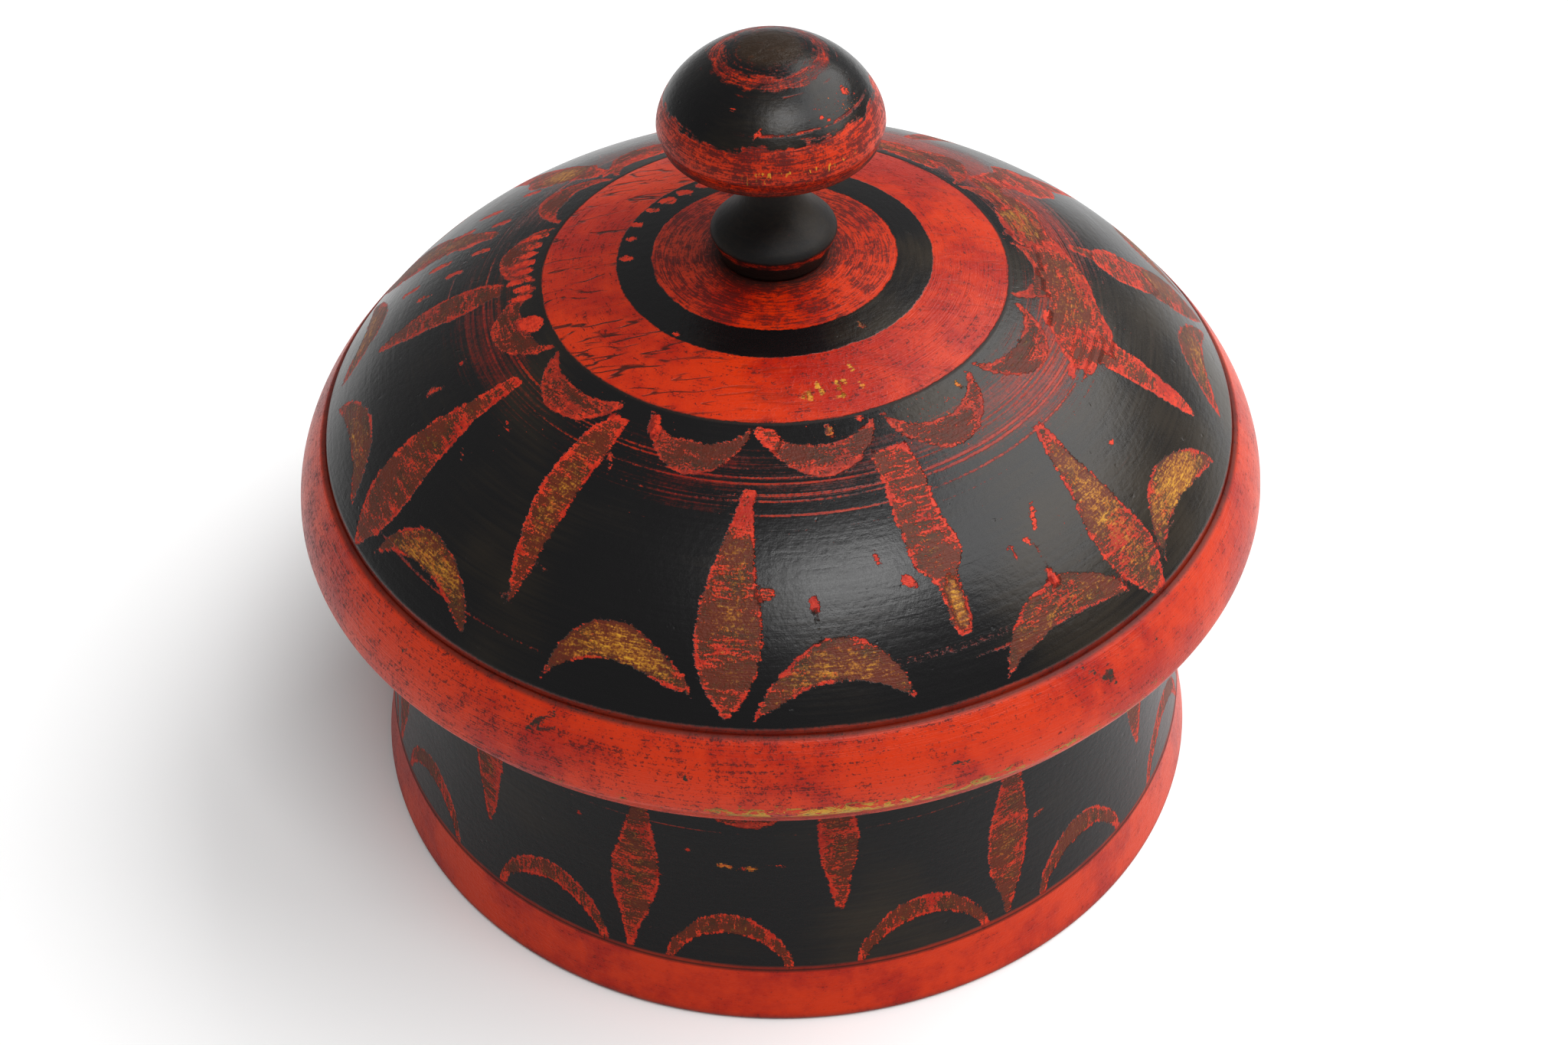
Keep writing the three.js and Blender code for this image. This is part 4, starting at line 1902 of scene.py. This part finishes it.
@dataclass
class Lid:
    """The lid: dome, groove, overhanging rim, seat, mouth and hollow.

    Attributes:
        hole: radius of the hole for the knob's tenon.
        crown: height of the dome on the axis.
        groove: radius and height of the groove.
        rim: radius and height where the rim is widest.
        rim_foot: radius and height of the rim's lower edge.
        seat: radius and height of the flat seat's outer edge.
        mouth: radius of the mouth.
        hollow: radius and height where the hollow starts above the mouth.
        ceiling: height of the hollow.
    """

    hole: float = 5.3
    crown: float = 114.0
    groove: Point = (84.0, 81.1)
    rim: Point = (90.1, 69.0)
    rim_foot: Point = (87.3, 63.5)
    seat: Point = (79.0, 64.3)
    mouth: float = 70.3
    hollow: Point = (67.6, 72.6)
    ceiling: float = 104.2

    def section(self) -> Outline:
        """Draw the lid's half-section, a ring that starts and ends in the tenon's hole.

        Returns:
            The section.
        """
        (gr, gz), (wr, wz), (fr, fz) = self.groove, self.rim, self.rim_foot
        outline = Outline([(self.hole, self.ceiling)], Coat.INSIDE, 3.0)
        outline.line(21.0, self.ceiling).sweep((42.0, self.ceiling), (64.5, 88.0), self.hollow)
        outline.line(self.mouth, self.hollow[1]).line(self.mouth, self.seat[1])
        outline.line(*self.seat).line(fr - 0.6, fz)
        outline.wearing(Coat.SHELL, 0.7).round((fr, fz), (fr, fz + 0.6))
        outline.line(wr - 0.8, wz - 1.6).round((wr, wz - 0.8), (wr, wz))
        outline.round((89.6, 74.5), (gr + 0.6, gz - 0.6))
        outline.wearing(Coat.SHELL, 0.3)
        outline.round((gr - 0.3, gz - 0.1), (gr - 0.5, gz - 0.5))
        outline.round((gr - 0.6, gz + 0.1), (gr - 0.6, gz + 0.6))
        outline.wearing(Coat.SHELL, 0.95)
        outline.sweep((71.5, 98.0), (48.0, 114.3), (self.hole, self.crown))
        outline.wearing(Coat.BARE, 3.0).line(self.hole, self.ceiling)
        return outline

    def junctions(self) -> list[float]:
        """Give the bearings at which the scallops meet, hanging and long petals in turn."""
        return [182, 208, 235, 265, 292, 319, 347, 371, 396, 420, 445, 469, 494, 518, 542]

    def petals(self) -> list[Mark]:
        """List the long petals and the hanging ones.

        Returns:
            The petals, named by radius.
        """
        long = ((0, 2.2), (0.1, 3.4), (0.24, 4.9), (0.4, 7.6), (0.55, 10.0), (0.68, 11.2),
                (0.79, 10.2), (0.88, 7.6), (0.95, 3.8), (1, 0.5))
        hang = ((0, 3.4), (0.16, 6.4), (0.34, 7.4), (0.52, 6.8), (0.68, 5.6), (0.82, 4.2),
                (0.93, 2.6), (1, 0.8))
        kinked = ((0, 6.2), (0.08, 7.2), (0.3, 7.2), (0.45, 7.8), (0.58, 9.0), (0.64, 8.6),
                  (0.70, 5.0), (0.76, 4.0), (0.88, 4.2), (1, 2.0))
        made: list[Mark] = [
            Petal((264.8, 53.0), (263.4, 82.3), long, 1.1, Tone(0.45, 0.45)),
            Petal((209.3, 50.5), (207.6, 83.2), long, 1.2, Tone(0.3, 0.5)),
            Petal((319.6, 56.5), (319.7, 83.6), long, 2.0, Tone(0.7, 0.35)),
            Petal((235.2, 45.0), (234.1, 75.9), hang, 1.9, Tone(0.5, 0.75)),
            Petal((291.2, 48.3), (292.4, 76.9), kinked, 0.0, Tone(0.25, 0.55), wobble=0.5),
            Petal((292.6, 69.0), (292.7, 76.4), ((0, 0.6), (0.3, 2.6), (0.8, 2.8), (1, 1.2)),
                  tone=Tone(1.1, 0.4), wobble=0.4),
            Petal((345.5, 48.0), (345.3, 76.2), hang, 1.2, Tone(0.35, 1.0)),
            Petal((180.2, 49.0), (179.8, 72.4), hang, 0.0, Tone(0.2, 0.6, 0.2)),
        ]
        made += [Petal((b + 1, 55.0), (b, 82.6), long, 0.8, DEEP) for b in (11, 60, 109, 158)]
        made += [Petal((b, 46.5), (b + 1, 75.0), hang, -0.8, Tone(0.3, 0.8)) for b in (36, 85, 134)]
        return made

    def leaves(self) -> list[Mark]:
        """List the leaves that lie at the foot of the long petals.

        Returns:
            The leaves, named by radius.
        """
        seen = [
            ((241.2, 82.5), (259.4, 80.8), 73.7, 78.3, 0.42, 0.85),
            ((266.3, 82.7), (284.9, 82.0), 73.8, 78.7, 0.55, 0.62),
            ((295.7, 82.7), (315.3, 81.2), 74.8, 79.7, 0.5, 0.45),
            ((322.3, 81.9), (341.2, 80.8), 73.2, 78.5, 0.45, 1.0),
            ((211.4, 81.8), (230.0, 82.2), 74.2, 78.7, 0.45, 0.8),
            ((184.3, 80.8), (202.5, 81.2), 74.0, 78.6, 0.5, 0.5),
            ((349.6, 81.0), (367.2, 81.2), 73.2, 78.3, 0.5, 0.55),
        ]
        for bearing in (375.2, 397.9, 424.2, 446.8, 473.2, 495.8, 522.2):
            seen.append(((bearing, 81.6), (bearing + 18, 81.6), 73.9, 78.6, 0.5, 0.6))
        return [
            Crescent((start, end), crest, belly, peak, full=0.6, hollow=0.95,
                     tone=Tone(ochre, 0.12), wobble=0.25)
            for start, end, crest, belly, peak, ochre in seen
        ]

    def scallops(self) -> list[Mark]:
        """List the dim scallops that hang round the red ring.

        Returns:
            The scallops, named by radius.
        """
        made: list[Mark] = []
        bearings = self.junctions()
        for k, (start, end) in enumerate(zip(bearings, bearings[1:])):
            lead = 5.5 if start == 235 else 1.0
            crest = (51.2, 50.4, 51.6, 51.2, 52.6, 51.4)[k % 6]
            made.append(Crescent(
                ((start + lead, 42.4), (end - 0.6, 42.6)), crest, crest - 5.4, full=0.62,
                hollow=0.6, foot_width=0.8, tone=SMOKY, wobble=0.35))
        made += [
            Blot(((241.6, 42.6), (243.6, 43.0), (245.6, 47.2), (244.4, 48.6), (242.4, 46.0)),
                 tone=Tone(0.1, 0.8), wobble=0.3),
            Blot(((264.0, 41.8), (270.6, 43.2), (269.6, 47.2), (266.2, 45.0)),
                 tone=Tone(0.15, 0.7), wobble=0.4),
        ]
        return made

    def scars(self) -> list[Mark]:
        """List the larger rubbed patches and single chips.

        Returns:
            The scars, named by radius.
        """
        patches = (
            (1.8, Tone(0.45, 0.95, 0.1), ((334, 57), (338, 53), (345, 49), (352, 48), (360, 47),
             (366, 47), (374, 48), (378, 50), (372, 53), (364, 56), (356, 57), (350, 60), (345, 60),
             (341, 58))),
            (0.5, Tone(0.2, 0.9), ((333, 55.2), (338, 54.4), (346, 54.0), (346, 55.6), (338, 56.2),
             (333, 56.6))),
            (0.5, Tone(0.2, 0.8, 0.1), ((332, 58.4), (339, 57.6), (347, 57.4), (347, 58.8),
             (339, 59.2))),
            (1.8, Tone(0.75, 0.7, 0.2), ((366, 44.5), (373, 44), (382, 44.5), (389, 46), (392, 50),
             (386, 53), (378, 52), (370, 49))),
            (1.6, Tone(0.55, 0.75, 0.1), ((384, 45), (392, 46), (400, 48), (398, 51), (390, 51),
             (383, 49))),
            (1.4, WORN, ((402, 44), (412, 43.5), (424, 45), (436, 44), (430, 48), (414, 48))),
            (1.4, Tone(0.2, 0.9), ((393, 52), (401, 55), (404, 62), (396, 66), (389, 60))),
            (1.2, Tone(0.3, 0.8), ((368, 59), (374, 62), (373, 70), (368, 73), (366, 66))),
            (1.2, Tone(0.8, 0.4), ((130, 50), (139, 51), (142, 58), (136, 64), (131, 58))),
            (1.2, WORN, ((112, 44), (126, 43.5), (138, 45), (132, 48), (118, 48))),
            (0.8, BRIGHT, ((193, 42.6), (197, 42.4), (200, 44.4), (197.5, 46.4), (195, 46.8),
             (192, 46.0))),
            (0.25, Tone(0.9, 0.9), ((279.4, 42.6), (281.6, 42.2), (282.4, 44.2), (280.8, 45.0))),
            (0.2, Tone(0.6, 1.0), ((286.6, 41.6), (289.2, 41.8), (289.0, 43.4), (287.4, 42.9))),
            (0.1, GOLD, ((312.8, 42.8), (314.2, 43.0), (313.9, 44.5), (312.9, 44.2))),
            (0.25, BRIGHT, ((266.6, 67.3), (268.6, 66.9), (269.3, 68.4), (267.4, 69.2),
             (266.2, 68.6))),
            (0.35, Tone(0.2, 1.1), ((273.2, 68.2), (274.8, 68.4), (274.7, 71.2), (273.5, 71.0))),
            (0.5, Tone(0.2, 1.0), ((285.8, 67.2), (288.2, 67.6), (288.4, 69.8), (286.4, 69.6))),
        )
        made: list[Mark] = [Blot(corners, tone=tone, wobble=wobble)
                            for wobble, tone, corners in patches]
        cuts = (
            ((229.6, 27.1), (233.0, 27.1), 0.9, BRIGHT),
            ((304.4, 23.6), (306.8, 27.0), 1.0, Tone(0.8, 0.2, 0.35)),
            ((283.2, 63.6), (283.8, 66.2), 0.9, BRIGHT),
            ((305.8, 73.4), (306.6, 76.0), 1.5, BRIGHT),
            ((307.2, 68.6), (309.0, 65.0), 0.9, BRIGHT),
            ((304.8, 68.8), (306.0, 70.0), 0.8, BRIGHT),
            ((302.4, 68.6), (302.8, 71.0), 0.7, BRIGHT),
            ((306.2, 70.6), (306.4, 73.6), 0.4, Tone(0.1, 0.9, 0.3)),
            ((327.4, 66.0), (328.4, 66.8), 1.0, BRIGHT),
            ((197.8, 62.6), (198.4, 64.2), 1.4, BRIGHT),
            ((215.4, 56.2), (217.4, 57.0), 0.7, BRIGHT),
            ((196.0, 56.4), (196.9, 57.6), 1.0, BRIGHT),
            ((237.4, 51.2), (239.4, 54.4), 0.8, Tone(0.2, 0.9, 0.2)),
            ((232.6, 75.6), (233.6, 76.6), 0.6, Tone(0.3, 0.6, 0.2)),
            ((235.4, 70.2), (237.6, 70.9), 0.7, Tone(0.1, 0.6, 0.4)),
            ((212.6, 63.6), (214.8, 65.2), 0.5, Tone(0.1, 0.8, 0.3)),
            ((274.1, 69.6), (274.3, 74.0), 0.5, CUT),
            ((304.6, 84.9), (308.9, 88.6), 0.8, CUT),
            ((307.4, 86.9), (308.3, 87.5), 1.3, CUT),
            ((241.0, 87.6), (244.2, 85.2), 0.9, CUT),
            ((242.2, 87.4), (245.0, 86.6), 0.6, CUT),
            ((222.4, 88.0), (223.4, 86.4), 0.6, CUT),
            ((287.0, 88.6), (290.6, 89.2), 0.5, CUT),
            ((315.2, 86.2), (316.4, 88.8), 0.5, CUT),
            ((259.2, 88.0), (259.8, 89.2), 0.6, CUT),
        )
        made += [dash(*cut) for cut in cuts]
        ring_edge = 42.3
        for y, length in ((13.2, 4.6), (10.4, 3.6), (7.8, 3.4), (5.2, 4.4), (2.7, 3.8), (0.2, 4.2),
                          (-2.4, 3.0), (-5.0, 3.6)):
            inner = math.sqrt(ring_edge**2 - y * y)
            made.append(plan_dash((-inner - 0.7, y), (-inner - 1.4 - length, y + 0.3), 1.9, BRIGHT))
        for x, y, length, width in (
            (-24.2, 6.0, 2.4, 1.7), (-24.8, 0.2, 2.6, 1.6), (-23.4, 10.4, 2.4, 1.6),
            (-20.4, 14.6, 3.0, 1.8), (-17.6, 17.4, 3.2, 2.4), (-14.6, 19.8, 3.2, 2.2),
            (-11.2, 21.8, 3.0, 1.9), (-7.2, 23.0, 3.2, 1.7), (-3.0, 23.8, 3.0, 1.5),
        ):
            made.append(plan_dash((x, y), (x - length, y + 0.3), width, BRIGHT))
        for x, y, length, width in (
            (-52, 15, 4, 1.6), (-54, 20, 5, 1.8), (-57, 11, 4, 1.4), (-60, 17, 5, 1.5),
            (-62, 23, 5, 1.6), (-49, 24, 4, 1.6), (-56, 27, 5, 1.5), (-63, 8, 3, 1.2),
            (-51, 31, 5, 1.5), (-66, 14, 4, 1.2), (-44, 34, 4, 1.5), (-58, -20, 3, 1.1),
        ):
            made.append(plan_dash((x, y), (x - length, y + 0.6), width, Tone(0.3, 0.9, 0.1)))
        return made

    def ring_chips(self) -> list[Mark]:
        """List the yellow chips in the red ring.

        Returns:
            The chips, named by radius.
        """
        return [
            Blot(((279.0, 34.0), (281.0, 33.4), (281.6, 35.6), (282.2, 37.0), (280.6, 36.8),
                  (280.2, 34.9)), tone=GOLD, wobble=0.3),
            Blot(((285.6, 33.6), (286.6, 34.0), (287.6, 36.6), (286.2, 36.6)), tone=GOLD, wobble=0.25),
            Blot(((291.0, 31.0), (292.6, 30.8), (292.6, 33.6), (291.6, 33.2)), tone=GOLD, wobble=0.3),
            Blot(((275.4, 36.2), (277.4, 36.2), (277.2, 37.2), (275.8, 36.9)), tone=GOLD, wobble=0.15),
            Blot(((252.0, 28.4), (255.0, 28.3), (254.6, 29.2), (252.6, 29.2)), tone=GOLD, wobble=0.15),
            dash((339.6, 32.2), (342.8, 31.8), 0.5, GOLD),
            dash((277.6, 35.2), (278.6, 37.6), 1.0, GOLD),
            dash((283.6, 37.0), (287.4, 37.6), 1.1, GOLD),
            dash((287.6, 34.4), (289.6, 35.6), 0.9, GOLD),
            dash((292.4, 35.6), (293.0, 37.4), 0.8, GOLD),
        ]

    def build(self, lathe: Lathe) -> bpy.types.Object:
        """Turn the lid, mark it and dress it.

        Args:
            lathe: the lathe to turn it on.

        Returns:
            The lid.
        """
        edge = (self.groove[0] - 0.6, self.groove[1] + 0.6)
        piece, surface = lathe.turn("turned_lid", self.section(), edge)
        dome = (surface.run > -15.0) & (surface.height >= self.rim[1])
        dome &= surface.radius > self.hole + 0.1
        marks = self.scallops() + self.petals() + self.leaves() + self.scars() + self.ring_chips()
        Face(surface, surface.radius, dome, seed=11).decorate(piece, marks, [
            (300, 55, 26, 0.34), (325, 50, 18, 0.3), (285, 46, 20, 0.35), (350, 54, 24, 0.45),
            (205, 55, 26, 0.25), (240, 48, 22, 0.3), (160, 56, 26, 0.35), (20, 52, 26, 0.5),
            (60, 50, 30, 0.4), (110, 54, 30, 0.4), (275, 68, 12, 0.15), (270, 25, 12, 0.12),
            (312, 72, 14, 0.3),
        ])
        dress(piece, [LidLac("lid_lac", age=0.26, streaks=0.85, leather=0.85, shine=0.39),
                      InsideLac("lid_inside"), BareWood("lid_bore_wood")])
        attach(piece, "lid")
        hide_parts("lid")
        return piece


@dataclass
class Knob:
    """The knob: tenon, bell-shaped stem, thin neck and mushroom head.

    Attributes:
        tenon: radius of the tenon.
        tenon_end: height of its lower end.
        seat: height at which the stem sits on the lid.
        shoulder: radius and height of the stem's shoulder.
        neck: radius and height of the neck.
        arris: radius and height of the head's lower edge.
        widest: radius and height where the head is widest.
        top: height of the top.
    """

    tenon: float = 5.0
    tenon_end: float = 104.5
    seat: float = 114.3
    shoulder: Point = (11.1, 118.9)
    neck: Point = (4.5, 130.7)
    arris: Point = (18.7, 139.1)
    widest: Point = (19.3, 140.9)
    top: float = 155.3

    def section(self) -> Outline:
        """Draw the knob's half-section from the tenon's end to the top.

        Returns:
            The section.
        """
        low = self.tenon_end
        outline = Outline([(0.0, low)], Coat.BARE, 2.0)
        outline.line(self.tenon - 0.8, low).line(self.tenon, low + 0.8).line(self.tenon, self.seat)
        outline.wearing(Coat.SHELL, 0.5).line(8.8, self.seat)
        outline.round((9.8, self.seat), (9.8, self.seat + 1.0)).line(*self.shoulder)
        outline.sweep((11.3, 121.4), (4.0, 123.4), self.neck)
        outline.sweep((4.7, 136.2), (10.0, 137.8), (self.arris[0] - 1, 137.9))
        outline.round((self.arris[0], 137.9), self.arris).line(*self.widest)
        outline.sweep((19.1, 146.4), (11.4, self.top), (0.0, self.top))
        return outline

    def marks(self) -> list[Mark]:
        """List the nicks on the head.

        Returns:
            The marks, named by their distance from the top.
        """
        return [
            Petal((264.6, 16.7), (259.2, 19.2), ((0, 0.5), (0.25, 0.9), (0.6, 0.7), (1, 0.1)),
                  tone=BRIGHT, wobble=0.1),
            Blot(((328.0, 15.0), (329.6, 14.1), (333.6, 14.2), (336.2, 15.0), (334.4, 15.8),
                  (330.0, 15.9)), tone=BRIGHT, wobble=0.1),
            Blot(((302.0, 16.0), (304.4, 15.9), (305.4, 16.6), (303.0, 16.8)),
                 tone=BRIGHT, wobble=0.15),
            Blot(((305.0, 17.0), (309.0, 17.1), (308.0, 17.6), (306.0, 17.6)),
                 tone=BRIGHT, wobble=0.15),
            dash((241.2, 14.5), (244.8, 14.2), 0.5, BRIGHT),
        ]

    def build(self, lathe: Lathe) -> bpy.types.Object:
        """Turn the knob, mark it and dress it.

        Args:
            lathe: the lathe to turn it on.

        Returns:
            The knob.
        """
        piece, surface = lathe.turn("turned_knob", self.section(), (0.0, self.top))
        surface.run *= -1
        head = surface.height > self.arris[1]
        Face(surface, surface.run, head, seed=5).decorate(piece, self.marks(), [
            (325, 17.0, 8, 0.75), (300, 15, 6, 0.3), (180, 15, 9, 0.35), (90, 16, 8, 0.3),
        ])
        dress(piece, [KnobLac("knob_lac", age=0.9, streaks=0.85, leather=0.5, chip_size=1.5),
                      InsideLac("knob_inside"), BareWood("tenon_wood")])  # Coat sets the order
        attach(piece, "lid")
        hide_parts("knob")
        return piece


# --- Studio ---------------------------------------------------------------------------------


@dataclass(frozen=True)
class Softbox:
    """A large soft lamp that points at the box.

    Attributes:
        name: its name.
        bearing: where it stands.
        climb: how high above the horizon it hangs, in degrees.
        distance: how far it is, in metres.
        size: its width and height, in metres.
        power: its power, in watts.
    """

    name: str
    bearing: float
    climb: float
    distance: float
    size: tuple[float, float]
    power: float

    def hang(self) -> None:
        """Hang the lamp."""
        lamp = bpy.data.lights.new(self.name, "AREA")
        lamp.shape = "RECTANGLE"
        lamp.size, lamp.size_y = self.size
        lamp.energy = self.power
        hung = bpy.data.objects.new(self.name, lamp)
        bearing, climb = math.radians(self.bearing), math.radians(self.climb)
        way = Vector((math.cos(bearing) * math.cos(climb), math.sin(bearing) * math.cos(climb),
                      math.sin(climb)))
        hung.location = Vector((0, 0, 0.09)) + way * self.distance
        hung.rotation_euler = way.to_track_quat("Z", "Y").to_euler()
        bpy.context.scene.collection.objects.link(hung)


@dataclass
class Studio:
    """A white sweep of floor, a dim room, two soft lamps and the camera.

    Attributes:
        floor_half: half the floor's width, in metres.
        floor_gap: how far it lies under the foot, so that the two faces stay apart, in metres.
        room: brightness of the room.
        lamps: the lamps.
        eye: where the camera stands, in metres.
        looks_down: how far below the horizon it looks, in degrees.
        tilt: how far it leans to the side, in degrees.
        lens: its focal length, in millimetres, on a sensor 36 mm wide.
    """

    floor_half: float = 6.0
    floor_gap: float = 0.0001
    room: float = 0.36
    lamps: tuple[Softbox, ...] = (
        Softbox("right_lamp", 15.0, 47.0, 2.2, (2.8, 1.7), 46.0),
        Softbox("front_lamp", -66.0, 62.0, 2.0, (0.95, 0.72), 15.5),
    )
    eye: tuple[float, float, float] = (0.00047, -0.31062, 0.34332)
    looks_down: float = 43.575
    tilt: float = -1.464
    lens: float = 50.0

    def floor(self) -> bpy.types.Object:
        """Lay the floor.

        Returns:
            The floor, which isn't part of the object.
        """
        half = self.floor_half
        mesh = bpy.data.meshes.new("floor")
        mesh.from_pydata([(x * half, y * half, -self.floor_gap) for x, y in
                          ((-1, -1), (1, -1), (1, 1), (-1, 1))], [], [(0, 1, 2, 3)])
        floor = bpy.data.objects.new("floor", mesh)
        bpy.context.scene.collection.objects.link(floor)
        paper = bpy.data.materials.new("white_paper")
        paper.use_nodes = True
        shader = paper.node_tree.nodes["Principled BSDF"]
        shader.inputs["Base Color"].default_value = (0.9, 0.9, 0.9, 1)
        shader.inputs["Roughness"].default_value = 0.9
        shader.inputs["Specular IOR Level"].default_value = 0.1
        mesh.materials.append(paper)
        return floor

    def light(self) -> None:
        """Light the room and hang the lamps."""
        world = bpy.data.worlds.new("white_room")
        world.use_nodes = True
        back = world.node_tree.nodes["Background"]
        back.inputs["Color"].default_value = (1, 1, 1, 1)
        back.inputs["Strength"].default_value = self.room
        bpy.context.scene.world = world
        for lamp in self.lamps:
            lamp.hang()

    def camera(self) -> None:
        """Set up the camera."""
        down, tilt = math.radians(self.looks_down), math.radians(self.tilt)
        forward = Vector((0, math.cos(down), -math.sin(down)))
        right = Vector((1, 0, 0))
        up = right.cross(forward)
        side = right * math.cos(tilt) + up * math.sin(tilt)
        head = up * math.cos(tilt) - right * math.sin(tilt)
        lens = bpy.data.cameras.new("camera")
        lens.lens = self.lens
        lens.sensor_width = 36.0
        lens.clip_start = 0.01
        stand = bpy.data.objects.new("camera", lens)
        stand.matrix_world = (
            Matrix.Translation(self.eye) @ Matrix((side, head, -forward)).transposed().to_4x4()
        )
        bpy.context.scene.collection.objects.link(stand)
        bpy.context.scene.camera = stand

    def set_up(self) -> None:
        """Set up floor, light, camera and the plain view of colours."""
        self.floor()
        self.light()
        self.camera()
        bpy.context.scene.view_settings.view_transform = "Standard"
        bpy.context.scene.view_settings.look = "Medium High Contrast"


def main() -> None:
    """Build the box piece by piece, then the studio."""
    logging.basicConfig(level=logging.INFO, format="%(message)s")
    lathe = Lathe(TURNS)
    for piece in (Bowl().build(lathe), Lid().build(lathe), Knob().build(Lathe(KNOB_TURNS))):
        LOG.info("%s: %d faces", piece.name, len(piece.data.polygons))
    Studio().set_up()


if __name__ == "__main__":
    main()
